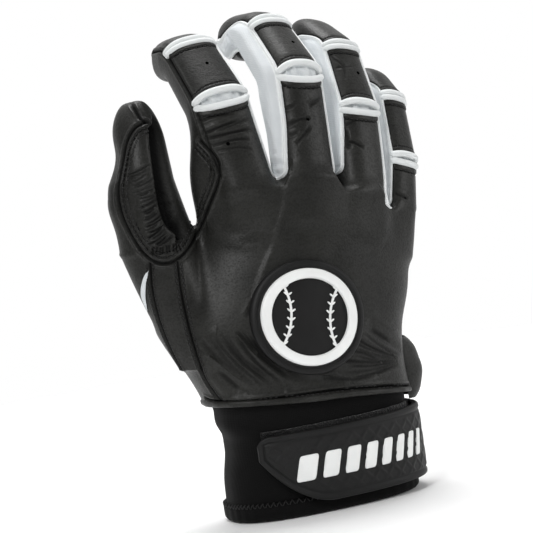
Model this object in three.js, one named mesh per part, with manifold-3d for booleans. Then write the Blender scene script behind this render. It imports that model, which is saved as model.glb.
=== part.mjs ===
// A right-hand batting glove, standing on the hem of its cuff as if a hand filled it.
// Millimetres. +Z runs from the wrist to the fingertips, the back of the hand faces -Y
// and the thumb is at -X. The origin is the centre of the wrist opening.

import * as THREE from 'three';
import { mergeVertices } from 'three/addons/utils/BufferGeometryUtils.js';
import Module from 'manifold-3d';

const wasm = await Module();
wasm.setup();

// Sheet thicknesses
const LEATHER = 1.2;
const ELASTIC = 1.0;
const NEOPRENE = 2.2;
const RUBBER = 2.4;
const HOOK_AND_LOOP = 0.9;

// Clearances: across a sewn seam, across a bending line, and under a piece laid on another
const SEAM_GAP = 0.4;
const JOINT_GAP = 0.8;
const LAY_GAP = 0.35;

// Fingers: centre of the knuckle section, turn of the finger's back towards +X, splay towards +X,
// bends at the three joints in degrees, lengths along the palm side, and the half widths and half
// depths of the tube at the knuckle, the two bends and the fingertip.
const FINGERS = {
  index: {
    knuckle: [-16.5, -2, 136], turn: 6, splay: -4, bends: [15, 24, 46], lengths: [36, 20, 21],
    halfWidths: [12, 11.6, 10.8, 9.4], halfDepths: [11.5, 10.8, 10, 8.8],
  },
  middle: {
    knuckle: [10.5, -5, 139], turn: 12, splay: 8, bends: [14, 33, 38], lengths: [37, 21, 26],
    halfWidths: [12, 11.8, 11, 9.6], halfDepths: [11.5, 11, 10.2, 9],
  },
  ring: {
    knuckle: [36, -1, 128], turn: 16, splay: 15, bends: [17, 15, 26], lengths: [33, 24, 29],
    halfWidths: [11.4, 11.2, 10.4, 9.2], halfDepths: [11, 10.4, 9.8, 8.8],
  },
  little: {
    knuckle: [55, 7, 116], turn: 20, splay: 20, bends: [14, 12, 24], lengths: [21, 24, 20],
    halfWidths: [10, 9.8, 9.2, 8.2], halfDepths: [10, 9.4, 8.8, 8],
  },
};

// Thumb, with the same measures and two bending lines
const THUMB = {
  knuckle: [-53.5, 10, 121], turn: -50, splay: -8.5, bends: [0, 14], lengths: [24, 34],
  halfWidths: [15, 13, 9.2], halfDepths: [14.8, 12.8, 9.4],
};
// Foot of the thumb's root sleeve, inside the hand, and the share of its girth left there
const THUMB_FOOT = [-49, 3, 90];
const THUMB_FOOT_GIRTH = 0.9;
// Shares of the root's length: its middle, and how far its hollow runs on past its foot
const ROOT_MIDDLE = 0.5;
const ROOT_OVERRUN = 0.05;

// Seams round a finger, in degrees from the middle of its back
const BACK_SEAM = 60;
const PALM_SEAM = 120;
const SIDE_SEAM = 90;
// Roundness of the cross sections, 2 for an ellipse
const FINGER_ROUNDNESS = 2.3;
// Fingertip: where it starts to close, and the share of width and depth left at its end seam
const TIP_START = 0.45;
const TIP_WIDTH_LEFT = 0.34;
const TIP_DEPTH_LEFT = 0.16;
const TIP_LINING_GAP = 0.3;
// How fast the two seams of a fingertip run together
const TIP_SEAM_RATE = 1.4;
// Seam of the thumb's web panel, from its back edge to its palm edge
const WEB_FROM = 0;
const WEB_TO = 150;

// White knuckle bands: height of the two piping ribs
const LOWER_RIB = 1.6;
const UPPER_RIB = 1.3;

// Side strips between the fingers: how deep the crotch dips and where it starts on the fingers
const CROTCH_DROP = 3;
const CROTCH_START = 0.1;
const FOURCHETTE_GAP = 0.52;
// Top edge of the hand: its gap under the fingers and how steeply it climbs between them
const TOP_EDGE_GAP = 0.6;
const WEB_SLOPE = 1.5;

// Hand: sections from the leather hem to the knuckles, as centre, half width and half depth
const LEATHER_EDGE_Z = 40.2;
const LEATHER_EDGE_RISE = 9.6;
const LEATHER_EDGE_ARCH = 1.6;
const HAND_SECTIONS = [
  { centre: 0, halfWidth: 45, halfDepth: 26.5 },
  { centre: -3, halfWidth: 48, halfDepth: 25.6 },
  { centre: -5.5, halfWidth: 53, halfDepth: 23.5 },
  { centre: 1.5, halfWidth: 52.5, halfDepth: 20 },
  { centre: 12, halfWidth: 48.5, halfDepth: 16 },
  { centre: 18.5, halfWidth: 47.5, halfDepth: 12.2 },
];
const HAND_ROUNDNESS = 2.5;
const ARCH_RISE = 12;
const ARCH_CENTRE = 10;
const ARCH_REACH = 44;
const HAND_SHIFT_Y = -5;

// Seams round the hand, in degrees from the middle of its back
const ULNAR_SEAM = 96;
const STRIP_FRONT_SEAM = -60;
const STRIP_BACK_SEAM = -76;
const ACCENT_WIDTH = 6;
const ACCENT_FROM = 0.3;
const ACCENT_TO = 0.72;
const ACCENT_END_SHARE = 0.12;
const HEM_HEIGHT = 6;
const HEM_THICKNESS = 1.7;

// Gusset at the little-finger side of the wrist
const GUSSET_FROM = 80;
const GUSSET_TO = 112;
const GUSSET_BULGE = 7;
const GUSSET_HEIGHT = 24;
const GUSSET_SWELL_FROM = 0.15;
const GUSSET_SWELL_TO = 0.9;

// Cuff
const CUFF_HALF_WIDTH = 42.2;
const CUFF_HALF_DEPTH = 23.8;
const CUFF_TOP_Z = 54;
const CUFF_SLIT_AT = 128;
const CUFF_SLIT = 3;
const CUFF_HEM_HEIGHT = 7;
const CUFF_HEM_PROUD = 1;

// Strap with its patches, by angle round the cuff
const STRAP_HINGE_AT = 88;
const STRAP_END_AT = -42;
const STRAP_BOTTOM_Z = 5;
const STRAP_TOP_Z = 36;
const STRAP_CORNER = 5;
const STRAP_CORNER_SHARE = 0.07;
const STRAP_CUT = 21;
const STRAP_CUT_SHARE = 0.3;
const STRAP_CUT_CURVE = 1.6;
const LOOP_MARGIN = 1.5;
const LOOP_END_AT = -47;
const LOOP_START_AT = 62;
const HOOK_START_AT = 24;
const HOOK_SETBACK = 6;
const HOOK_BOTTOM_MARGIN = 3;
const HOOK_TOP_MARGIN = 6;
const ANCHOR_END_AT = 124;

// Badge on the back of the hand
const BADGE_CENTRE_X = -3;
const BADGE_CENTRE_Z = 82;
const BADGE_HALF_WIDTH = 25;
const BADGE_HALF_HEIGHT = 24;
const BADGE_TILT = 12;
const BADGE_THICKNESS = 1.8;
const BADGE_LIFT = 0.8;
const MOTIF_OUTER = 0.84;
const MOTIF_INNER = 0.68;
const MOTIF_HEIGHT = 1.2;

// Facets along and across the sheets
const TUBE_ROWS = 2;
const TIP_ROWS = 6;
const PANEL_COLUMNS = 6;
const WRAPPED_COLUMNS = 10;
const WEB_COLUMNS = 8;
const OUTER_COLUMNS = 12;
const KNUCKLE_ROWS = 2;
const RIB_ROWS = 8;
const FOURCHETTE_COLUMNS = 4;
const HAND_ROWS = 9;
const HAND_COLUMNS = 18;
const STRIP_COLUMNS = 3;
const ACCENT_ROWS = 8;
const ACCENT_COLUMNS = 2;
const HEM_ROWS = 2;
const HEM_COLUMNS = 24;
const THUMB_SIDES = 28;
const HAND_SIDES = 48;
const HAND_RINGS = 12;
const GUSSET_ROWS = 6;
const GUSSET_COLUMNS = 8;
const BADGE_FACETS = 8;
const CUFF_COLUMNS = 44;
const LOOP_COLUMNS = 20;
const HOOK_COLUMNS = 12;
const STRAP_ROWS = 4;
const STRAP_COLUMNS = 30;
const ANCHOR_COLUMNS = 10;
// Points closer than this are one point, and passes that settle a place on the curved back
const MERGE_DISTANCE = 1e-4;
const SURFACE_PASSES = 8;

const glove = new THREE.Group();
const X_AXIS = new THREE.Vector3(1, 0, 0);
const radians = THREE.MathUtils.degToRad;
const lerp = THREE.MathUtils.lerp;

// Finishes
const finish = (color, roughness) => new THREE.MeshStandardMaterial({ color, roughness, metalness: 0 });
const leather = () => finish(0x2d2d2a, 0.5);
const whiteElastic = () => finish(0xe6eaea, 0.7);
const neoprene = () => finish(0x141414, 0.9);
const rubber = () => finish(0x262626, 0.55);
const whiteRubber = () => finish(0xf0f0f0, 0.5);
const hookAndLoop = () => finish(0x0d0d0d, 1);

function addPiece(name, geometry, material, parent = glove) {
  const mesh = new THREE.Mesh(geometry, material);
  mesh.name = name;
  parent.add(mesh);
}

// Geometry from points and triangles, turned so that its faces point out
function closedGeometry(positions, index) {
  let volume = 0;
  const corner = (k) => new THREE.Vector3().fromArray(positions, 3 * k);
  for (let k = 0; k < index.length; k += 3) {
    const [a, b, c] = [corner(index[k]), corner(index[k + 1]), corner(index[k + 2])];
    volume += a.dot(b.cross(c));
  }
  const geometry = new THREE.BufferGeometry();
  geometry.setAttribute('position', new THREE.Float32BufferAttribute(positions, 3));
  geometry.setIndex(volume > 0 ? index : [...index].reverse());
  geometry.computeVertexNormals();
  return geometry;
}

// A sewn sheet: point(u, v, depth) gives its outer face at depth 0 and its lining at depth 1
function sheet(point, rows, columns) {
  const positions = [];
  for (const depth of [0, 1]) {
    for (let i = 0; i <= rows; i += 1) {
      for (let j = 0; j <= columns; j += 1) {
        positions.push(...point(i / rows, j / columns, depth).toArray());
      }
    }
  }
  const at = (depth, i, j) => (depth * (rows + 1) + i) * (columns + 1) + j;
  const index = [];
  const quad = (a, b, c, d) => index.push(a, b, c, a, c, d);
  for (let i = 0; i < rows; i += 1) {
    for (let j = 0; j < columns; j += 1) {
      quad(at(0, i, j), at(0, i, j + 1), at(0, i + 1, j + 1), at(0, i + 1, j));
      quad(at(1, i, j), at(1, i + 1, j), at(1, i + 1, j + 1), at(1, i, j + 1));
    }
    quad(at(0, i, 0), at(0, i + 1, 0), at(1, i + 1, 0), at(1, i, 0));
    quad(at(0, i, columns), at(1, i, columns), at(1, i + 1, columns), at(0, i + 1, columns));
  }
  for (let j = 0; j < columns; j += 1) {
    quad(at(0, 0, j), at(1, 0, j), at(1, 0, j + 1), at(0, 0, j + 1));
    quad(at(0, rows, j), at(0, rows, j + 1), at(1, rows, j + 1), at(1, rows, j));
  }
  return closedGeometry(positions, index);
}

// A solid through a row of rings, closed by a fan at each end
function loft(rings) {
  const sides = rings[0].length;
  const positions = rings.flat().flatMap((point) => point.toArray());
  const index = [];
  for (let i = 0; i + 1 < rings.length; i += 1) {
    for (let j = 0; j < sides; j += 1) {
      const next = (j + 1) % sides;
      const [a, b] = [i * sides + j, i * sides + next];
      index.push(a, b, b + sides, a, b + sides, a + sides);
    }
  }
  const last = (rings.length - 1) * sides;
  for (let j = 1; j + 1 < sides; j += 1) {
    index.push(0, j + 1, j, last, last + j, last + j + 1);
  }
  return closedGeometry(positions, index);
}

// Boolean work
function solid(geometry) {
  const plain = geometry.clone();
  plain.deleteAttribute('normal');
  const merged = mergeVertices(plain, MERGE_DISTANCE);
  return new wasm.Manifold(new wasm.Mesh({
    numProp: 3,
    vertProperties: new Float32Array(merged.attributes.position.array),
    triVerts: new Uint32Array(merged.index.array),
  }));
}

function geometryOf(manifold) {
  const mesh = manifold.getMesh();
  const geometry = new THREE.BufferGeometry();
  geometry.setAttribute('position', new THREE.BufferAttribute(mesh.vertProperties, 3));
  geometry.setIndex(new THREE.BufferAttribute(mesh.triVerts, 1));
  geometry.computeVertexNormals();
  return geometry;
}

// A rounded cross section: x across, y from the back (negative) to the palm
function section(angle, halfWidth, halfDepth, roundness) {
  const across = Math.sin(radians(angle));
  const back = Math.cos(radians(angle));
  const bulge = 2 / roundness;
  return [
    halfWidth * Math.sign(across) * Math.abs(across) ** bulge,
    -halfDepth * Math.sign(back) * Math.abs(back) ** bulge,
  ];
}

// Fingers and thumb
//
// Each segment is a tapering tube in its own group, whose origin is its bending line on the palm
// side, so bending only ever opens the back, where a band of elastic or leather fills the wedge.
function buildDigit(name, size) {
  const knuckle = new THREE.Group();
  knuckle.name = `${name}_knuckle`;
  knuckle.position.set(...size.knuckle);
  const turn = new THREE.Quaternion().setFromAxisAngle(new THREE.Vector3(0, 0, 1), radians(size.turn));
  const splay = new THREE.Quaternion().setFromAxisAngle(new THREE.Vector3(0, 1, 0), radians(size.splay));
  knuckle.quaternion.multiplyQuaternions(splay, turn);
  glove.add(knuckle);

  let parent = knuckle;
  let hinge = new THREE.Vector3(0, size.halfDepths[0], 0);
  const segments = size.lengths.map((length, i) => {
    const group = new THREE.Group();
    group.name = `${name}_segment_${i}`;
    group.position.copy(hinge);
    group.rotation.x = -radians(size.bends[i]);
    parent.add(group);
    const segment = {
      group, parent, hinge, length, bend: size.bends[i],
      isTip: i === size.lengths.length - 1,
      halfWidths: [size.halfWidths[i], size.halfWidths[i + 1]],
      halfDepths: [size.halfDepths[i], size.halfDepths[i + 1]],
    };
    parent = group;
    hinge = new THREE.Vector3(0, 0, length);
    return segment;
  });
  glove.updateMatrixWorld(true);
  return { knuckle, segments };
}

// Share of the closing fingertip, from 0 at its start to 1 at its end seam
const tipShare = (segment, along) => (segment.isTip ? Math.max(0, (along - TIP_START) / (1 - TIP_START)) : 0);

function segmentPoint(segment, along, angle, inset) {
  const open = Math.sqrt(1 - tipShare(segment, along) ** 2);
  const depth = lerp(...segment.halfDepths, along);
  const halfWidth = lerp(...segment.halfWidths, along) * lerp(TIP_WIDTH_LEFT, 1, open) - inset;
  const halfDepth = Math.max(depth * lerp(TIP_DEPTH_LEFT, 1, open) - inset, TIP_LINING_GAP);
  const [x, y] = section(angle, halfWidth, halfDepth, FINGER_ROUNDNESS);
  const z = lerp(JOINT_GAP / 2, segment.length - (segment.isTip ? 0 : JOINT_GAP / 2), along);
  return new THREE.Vector3(x, y - depth, z);
}

// One panel of a segment between two seam angles, which run together at the end of a fingertip
function segmentPanel(segment, from, to, columns) {
  const half = (SEAM_GAP / segment.halfWidths[0]) * THREE.MathUtils.RAD2DEG * 0.5;
  const seam = (pair, along) => lerp(pair[0], pair[1], Math.min(1, TIP_SEAM_RATE * tipShare(segment, along)));
  const rows = segment.isTip ? TIP_ROWS : TUBE_ROWS;
  return sheet((u, v, depth) => {
    const angle = lerp(seam(from, u) + half, seam(to, u) - half, v);
    return segmentPoint(segment, u, angle, depth * LEATHER);
  }, rows, columns);
}

// The wedge that fills the back of a bend, turned about the bending line
function bendBand(segment, from, to, thickness, rib, rows) {
  const [halfWidth, halfDepth] = [segment.halfWidths[0], segment.halfDepths[0]];
  const sideGap = (SEAM_GAP / halfWidth) * THREE.MathUtils.RAD2DEG * 0.5;
  return sheet((u, v, depth) => {
    const grow = rib * Math.sin(2 * Math.PI * u) ** 2 * (1 - depth) - depth * thickness;
    const angle = lerp(from + sideGap, to - sideGap, v);
    const [x, y] = section(angle, halfWidth + grow, halfDepth + grow, FINGER_ROUNDNESS);
    const turn = -u * radians(segment.bend);
    return new THREE.Vector3(x, y - halfDepth, 0).applyAxisAngle(X_AXIS, turn).add(segment.hinge);
  }, rows, PANEL_COLUMNS);
}

// Fingers: leather backs and fronts on every segment, with a leather knuckle and two white bands
const fingers = {};
for (const [name, size] of Object.entries(FINGERS)) {
  const finger = buildDigit(name, size);
  fingers[name] = finger;
  const backLeft = [-BACK_SEAM, -SIDE_SEAM];
  const backRight = [BACK_SEAM, SIDE_SEAM];
  const frontRight = name === 'little' ? backRight : [PALM_SEAM, SIDE_SEAM];
  const frontLeft = (name === 'index' ? backLeft : [-PALM_SEAM, -SIDE_SEAM]).map((angle) => angle + 360);
  const frontColumns = name === 'index' || name === 'little' ? WRAPPED_COLUMNS : PANEL_COLUMNS;
  ['base', 'mid', 'tip'].forEach((part, i) => {
    const segment = finger.segments[i];
    const back = segmentPanel(segment, backLeft, backRight, PANEL_COLUMNS);
    addPiece(`${name}_${part}_back`, back, leather(), segment.group);
    const front = segmentPanel(segment, frontRight, frontLeft, frontColumns);
    addPiece(`${name}_${part}_front`, front, leather(), segment.group);
  });
  const [base, mid, tip] = finger.segments;
  const knuckleBack = bendBand(base, -BACK_SEAM, BACK_SEAM, LEATHER, 0, KNUCKLE_ROWS);
  addPiece(`${name}_knuckle_back`, knuckleBack, leather(), base.parent);
  const lowerBand = bendBand(mid, -BACK_SEAM, BACK_SEAM, ELASTIC, LOWER_RIB, RIB_ROWS);
  addPiece(`${name}_lower_band`, lowerBand, whiteElastic(), mid.parent);
  const upperBand = bendBand(tip, -BACK_SEAM, BACK_SEAM, ELASTIC, UPPER_RIB, RIB_ROWS);
  addPiece(`${name}_upper_band`, upperBand, whiteElastic(), tip.parent);
}

// Fourchettes: one white strip from a finger's side, through the crotch, up the next finger's side
function fourchette(left, right) {
  const stations = [
    { segment: 2, along: TIP_START }, { segment: 2, along: 0 },
    { segment: 1, along: 1 }, { segment: 1, along: 0 },
    { segment: 0, along: 1 }, { segment: 0, along: 0.5 }, { segment: 0, along: CROTCH_START },
  ];
  const onFinger = (finger, side, station, v, depth) => {
    const segment = finger.segments[station.segment];
    const gap = (FOURCHETTE_GAP / segment.halfWidths[0]) * THREE.MathUtils.RAD2DEG;
    const angle = side * lerp(BACK_SEAM + gap, PALM_SEAM - gap, v);
    return segment.group.localToWorld(segmentPoint(segment, station.along, angle, depth * ELASTIC));
  };
  const rows = 2 * stations.length;
  const crotch = stations[stations.length - 1];
  return sheet((u, v, depth) => {
    const row = Math.round(u * rows);
    if (row < stations.length) {
      return onFinger(left, 1, stations[row], v, depth);
    }
    if (row > stations.length) {
      return onFinger(right, -1, stations[rows - row], v, depth);
    }
    const middle = onFinger(left, 1, crotch, v, 0).lerp(onFinger(right, -1, crotch, v, 0), 0.5);
    middle.z -= CROTCH_DROP + depth * ELASTIC;
    return middle;
  }, rows, FOURCHETTE_COLUMNS);
}
addPiece('index_middle_fourchette', fourchette(fingers.index, fingers.middle), whiteElastic());
addPiece('middle_ring_fourchette', fourchette(fingers.middle, fingers.ring), whiteElastic());
addPiece('ring_little_fourchette', fourchette(fingers.ring, fingers.little), whiteElastic());

// Hand
//
// The leather runs from its lower edge to a line just under the four knuckle sections.
function knuckleHeight(x) {
  const heights = Object.values(FINGERS).map((finger) => {
    const [centre, , height] = finger.knuckle;
    const reach = finger.halfWidths[0] * Math.cos(radians(finger.splay));
    const inside = THREE.MathUtils.clamp(x - centre, -reach, reach);
    const outside = Math.abs(x - centre - inside);
    return height - inside * Math.tan(radians(finger.splay)) + WEB_SLOPE * outside;
  });
  return Math.min(...heights) - TOP_EDGE_GAP;
}

const handCurve = new THREE.CatmullRomCurve3(HAND_SECTIONS.map(
  (size) => new THREE.Vector3(size.centre, size.halfWidth, size.halfDepth),
));
const topSection = HAND_SECTIONS[HAND_SECTIONS.length - 1];
const archAt = (x, share) => share * ARCH_RISE * ((x - ARCH_CENTRE) / ARCH_REACH) ** 2;

const topOfHand = (angle) => topSection.centre
  + section(angle, topSection.halfWidth, topSection.halfDepth, HAND_ROUNDNESS)[0];

// The leather's lower edge climbs towards the thumb, and arches a little over the back
function leatherEdge(angle) {
  const climb = (1 - Math.sin(radians(angle))) / 2;
  const arch = Math.max(0, Math.cos(radians(angle)));
  return LEATHER_EDGE_Z + LEATHER_EDGE_RISE * climb + LEATHER_EDGE_ARCH * arch;
}

function handPoint(up, angle, inset) {
  const size = handCurve.getPoint(up);
  const [across, back] = section(angle, size.y - inset, size.z - inset, HAND_ROUNDNESS);
  const x = size.x + across;
  const z = lerp(leatherEdge(angle), knuckleHeight(topOfHand(angle)), up);
  return new THREE.Vector3(x, back + HAND_SHIFT_Y * up ** 2 + archAt(x, up), z);
}

// The back of the hand at a given place, for pieces laid on it
function backOfHand(x, z, lift) {
  let up = 0.5;
  let angle = 0;
  for (let pass = 0; pass < SURFACE_PASSES; pass += 1) {
    const size = handCurve.getPoint(up);
    const across = (x - size.x) / size.y;
    angle = THREE.MathUtils.RAD2DEG * Math.asin(Math.sign(across) * Math.abs(across) ** (HAND_ROUNDNESS / 2));
    const low = leatherEdge(angle);
    up = (z - low) / (knuckleHeight(topOfHand(angle)) - low);
  }
  return handPoint(up, angle, -lift);
}

const upAt = (height) => height / (FINGERS.middle.knuckle[2] - LEATHER_EDGE_Z);
const handSeamGap = (SEAM_GAP / topSection.halfWidth) * THREE.MathUtils.RAD2DEG;

function handSheet(from, to, low, high, rows, columns, thickness = LEATHER, lift = 0) {
  return sheet((u, v, depth) => {
    const up = lerp(low, high, u);
    return handPoint(up, lerp(from(up), to(up), v), depth * thickness - lift);
  }, rows, columns);
}

// Half angle that the white accent opens between the side strip and the palm
function accentSpread(up) {
  const share = THREE.MathUtils.clamp((up - ACCENT_FROM) / (ACCENT_TO - ACCENT_FROM), 0, 1);
  return ACCENT_WIDTH * Math.sin(Math.PI * share);
}
const hemTop = upAt(HEM_HEIGHT);
const panelStart = upAt(HEM_HEIGHT + SEAM_GAP);
const palmFrom = () => ULNAR_SEAM + handSeamGap;
const palmTo = (up) => 360 + STRIP_BACK_SEAM - accentSpread(up) - 2 * handSeamGap;

const backPanel = handSheet(() => STRIP_FRONT_SEAM + handSeamGap, () => ULNAR_SEAM - handSeamGap,
  panelStart, 1, HAND_ROWS, HAND_COLUMNS);
const sideStrip = handSheet(() => STRIP_BACK_SEAM, () => STRIP_FRONT_SEAM,
  panelStart, 1, HAND_ROWS, STRIP_COLUMNS);
const palmPanel = handSheet(palmFrom, palmTo, 0, 1, HAND_ROWS, HAND_COLUMNS);
const sideAccent = handSheet((up) => STRIP_BACK_SEAM - accentSpread(up), () => STRIP_BACK_SEAM - handSeamGap,
  lerp(ACCENT_FROM, ACCENT_TO, ACCENT_END_SHARE), lerp(ACCENT_TO, ACCENT_FROM, ACCENT_END_SHARE),
  ACCENT_ROWS, ACCENT_COLUMNS, ELASTIC);
const backHem = handSheet(() => STRIP_BACK_SEAM, () => ULNAR_SEAM - handSeamGap, 0, hemTop,
  HEM_ROWS, HEM_COLUMNS, HEM_THICKNESS, HEM_THICKNESS - LEATHER);

// Thumb: a root sleeve fitted to the hand's side, then two segments with a leather knuckle between
const thumb = buildDigit('thumb', THUMB);
const thumbHalf = [THUMB.halfWidths[0], THUMB.halfDepths[0]];

const ringAngles = (sides) => Array.from({ length: sides }, (_, k) => (360 * k) / sides);

// A ring of the root sleeve, from the thumb's knuckle (share 0) to its foot inside the hand (share 1)
function thumbRootRing(share, inset, rise = 0) {
  const foot = new THREE.Vector3(...THUMB_FOOT);
  const centre = new THREE.Vector3(...THUMB.knuckle).lerp(foot, share);
  const girth = lerp(1, THUMB_FOOT_GIRTH, share);
  return ringAngles(THUMB_SIDES).map((angle) => {
    const [halfWidth, halfDepth] = thumbHalf.map((half) => half * girth - inset);
    const [x, y] = section(angle, halfWidth, halfDepth, FINGER_ROUNDNESS);
    const ringPoint = new THREE.Vector3(x, y, rise);
    return ringPoint.applyQuaternion(thumb.knuckle.quaternion).add(centre);
  });
}

const handRing = (up) => ringAngles(HAND_SIDES).map((angle) => handPoint(up, angle, -SEAM_GAP));
const handRings = Array.from({ length: HAND_RINGS + 1 }, (_, k) => handRing(k / HAND_RINGS));
const handSolid = solid(loft(handRings));
const thumbOuter = solid(loft([1, ROOT_MIDDLE, 0].map((share) => thumbRootRing(share, 0))));
const thumbInner = solid(loft([
  thumbRootRing(1 + ROOT_OVERRUN, LEATHER),
  thumbRootRing(ROOT_MIDDLE, LEATHER),
  thumbRootRing(0, LEATHER, LEATHER),
]));
const thumbRoot = thumbOuter.subtract(thumbInner).subtract(handSolid);

addPiece('back_panel', backPanel, leather());
addPiece('thumb_side_strip', sideStrip, leather());
addPiece('palm_panel', geometryOf(solid(palmPanel).subtract(thumbInner)), leather());
addPiece('side_accent', sideAccent, whiteElastic());
addPiece('back_hem', backHem, leather());
addPiece('thumb_root', geometryOf(thumbRoot), leather());

const [thumbBase, thumbTip] = thumb.segments;
const webFrom = [WEB_FROM, WEB_FROM];
const webTo = [WEB_TO, WEB_TO];
const webEnd = [WEB_FROM + 360, WEB_FROM + 360];
const innerPanel = (segment) => segmentPanel(segment, webFrom, webTo, WEB_COLUMNS);
const outerPanel = (segment) => segmentPanel(segment, webTo, webEnd, OUTER_COLUMNS);
addPiece('web_panel', innerPanel(thumbBase), leather(), thumbBase.group);
addPiece('thumb_base_outer', outerPanel(thumbBase), leather(), thumbBase.group);
addPiece('thumb_tip_inner', innerPanel(thumbTip), leather(), thumbTip.group);
addPiece('thumb_tip_outer', outerPanel(thumbTip), leather(), thumbTip.group);
const thumbKnuckle = bendBand(thumbTip, -BACK_SEAM, BACK_SEAM, LEATHER, 0, KNUCKLE_ROWS);
addPiece('thumb_knuckle', thumbKnuckle, leather(), thumbBase.group);

// Gusset: a pleat of leather that stands out over the seam at the little-finger side of the wrist
const gusset = sheet((u, v, depth) => {
  const up = lerp(panelStart, upAt(GUSSET_HEIGHT), u);
  const swell = Math.sin(Math.PI * lerp(GUSSET_SWELL_FROM, GUSSET_SWELL_TO, u));
  const bulge = GUSSET_BULGE * Math.sin(Math.PI * v) * swell;
  const lift = LAY_GAP + (1 - depth) * (LEATHER + bulge);
  return handPoint(up, lerp(GUSSET_FROM, GUSSET_TO, v), -lift);
}, GUSSET_ROWS, GUSSET_COLUMNS);
addPiece('ulnar_gusset', gusset, leather());

// Badge: a domed rubber patch with a raised white ring
function badgeSolid(scale, bottom, top) {
  return sheet((u, v, depth) => {
    const [a, b] = [2 * u - 1, 2 * v - 1];
    const across = BADGE_HALF_WIDTH * scale * a * Math.sqrt(1 - (b * b) / 2);
    const along = BADGE_HALF_HEIGHT * scale * b * Math.sqrt(1 - (a * a) / 2);
    const tilt = radians(BADGE_TILT);
    const x = BADGE_CENTRE_X + across * Math.cos(tilt) + along * Math.sin(tilt);
    const z = BADGE_CENTRE_Z - across * Math.sin(tilt) + along * Math.cos(tilt);
    return backOfHand(x, z, lerp(top, bottom, depth));
  }, BADGE_FACETS, BADGE_FACETS);
}
const badgeTop = BADGE_LIFT + BADGE_THICKNESS;
addPiece('badge', badgeSolid(1, BADGE_LIFT, badgeTop), rubber());
const motifBottom = badgeTop + LAY_GAP;
const motifDisc = solid(badgeSolid(MOTIF_OUTER, motifBottom, motifBottom + MOTIF_HEIGHT));
const motifHole = solid(badgeSolid(MOTIF_INNER, LAY_GAP, motifBottom + 2 * MOTIF_HEIGHT));
addPiece('badge_motif', geometryOf(motifDisc.subtract(motifHole)), whiteRubber());

// Cuff: a neoprene sleeve with a slit under the strap, on a thicker folded hem
function cuffPoint(angle, z, lift) {
  const [x, y] = section(angle, CUFF_HALF_WIDTH + lift, CUFF_HALF_DEPTH + lift, HAND_ROUNDNESS);
  return new THREE.Vector3(x, y, z);
}
const slitHalf = (CUFF_SLIT / CUFF_HALF_WIDTH) * THREE.MathUtils.RAD2DEG * 0.5;
const slitFrom = CUFF_SLIT_AT + slitHalf;
const slitTo = CUFF_SLIT_AT - slitHalf + 360;

function cuffSheet(from, to, bottom, top, outer, inner, columns) {
  return sheet((u, v, depth) => {
    const lift = lerp(outer, inner, depth);
    return cuffPoint(lerp(from, to, v), lerp(bottom, top, u), lift);
  }, 1, columns);
}
const aboveHem = CUFF_HEM_HEIGHT + LAY_GAP;
const cuff = cuffSheet(slitFrom, slitTo, aboveHem, CUFF_TOP_Z, 0, -NEOPRENE, CUFF_COLUMNS);
addPiece('cuff', cuff, neoprene());
const cuffHem = cuffSheet(slitFrom, slitTo, 0, CUFF_HEM_HEIGHT, CUFF_HEM_PROUD, -NEOPRENE, CUFF_COLUMNS);
addPiece('cuff_hem', cuffHem, neoprene());

// Strap: loop patch on the cuff, hook patch under the strap's free end, and the sewn anchor
const loopTop = LAY_GAP + HOOK_AND_LOOP;
const hookTop = loopTop + LAY_GAP + HOOK_AND_LOOP;
const strapUnder = Math.max(hookTop, CUFF_HEM_PROUD) + LAY_GAP;
const strapTop = strapUnder + RUBBER;
const loopPatch = cuffSheet(LOOP_END_AT, LOOP_START_AT, aboveHem + LOOP_MARGIN, STRAP_TOP_Z + LOOP_MARGIN,
  loopTop, LAY_GAP, LOOP_COLUMNS);
addPiece('loop_patch', loopPatch, hookAndLoop());

// The free end is rounded at its top corner and cut away in a long curve below
function strapEdges(angle) {
  const share = (angle - STRAP_END_AT) / (STRAP_HINGE_AT - STRAP_END_AT);
  const corner = Math.max(0, 1 - share / STRAP_CORNER_SHARE);
  const cut = Math.max(0, 1 - share / STRAP_CUT_SHARE);
  return [
    STRAP_BOTTOM_Z + STRAP_CUT * cut ** STRAP_CUT_CURVE,
    STRAP_TOP_Z - STRAP_CORNER * (1 - Math.sqrt(1 - corner ** 2)),
  ];
}
const hookPatch = sheet((u, v, depth) => {
  const angle = lerp(STRAP_END_AT + HOOK_SETBACK, HOOK_START_AT, v);
  const [bottom] = strapEdges(angle);
  const low = Math.max(aboveHem, bottom) + HOOK_BOTTOM_MARGIN;
  const height = lerp(low, STRAP_TOP_Z - HOOK_TOP_MARGIN, u);
  return cuffPoint(angle, height, lerp(hookTop, loopTop + LAY_GAP, depth));
}, 1, HOOK_COLUMNS);
addPiece('hook_patch', hookPatch, hookAndLoop());

const strap = sheet((u, v, depth) => {
  const angle = lerp(STRAP_END_AT, STRAP_HINGE_AT, v);
  const [bottom, top] = strapEdges(angle);
  return cuffPoint(angle, lerp(bottom, top, u), lerp(strapTop, strapUnder, depth));
}, STRAP_ROWS, STRAP_COLUMNS);
addPiece('strap', strap, rubber());
const anchorGap = (JOINT_GAP / CUFF_HALF_DEPTH) * THREE.MathUtils.RAD2DEG;
const anchor = cuffSheet(STRAP_HINGE_AT + anchorGap, ANCHOR_END_AT, STRAP_BOTTOM_Z, STRAP_TOP_Z,
  strapTop, CUFF_HEM_PROUD + LAY_GAP, ANCHOR_COLUMNS);
addPiece('strap_anchor', anchor, rubber());

export default glove;
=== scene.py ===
import math

import bpy
import numpy as np
from mathutils import Matrix, Vector
from mathutils.bvhtree import BVHTree
from mathutils.kdtree import KDTree


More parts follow.
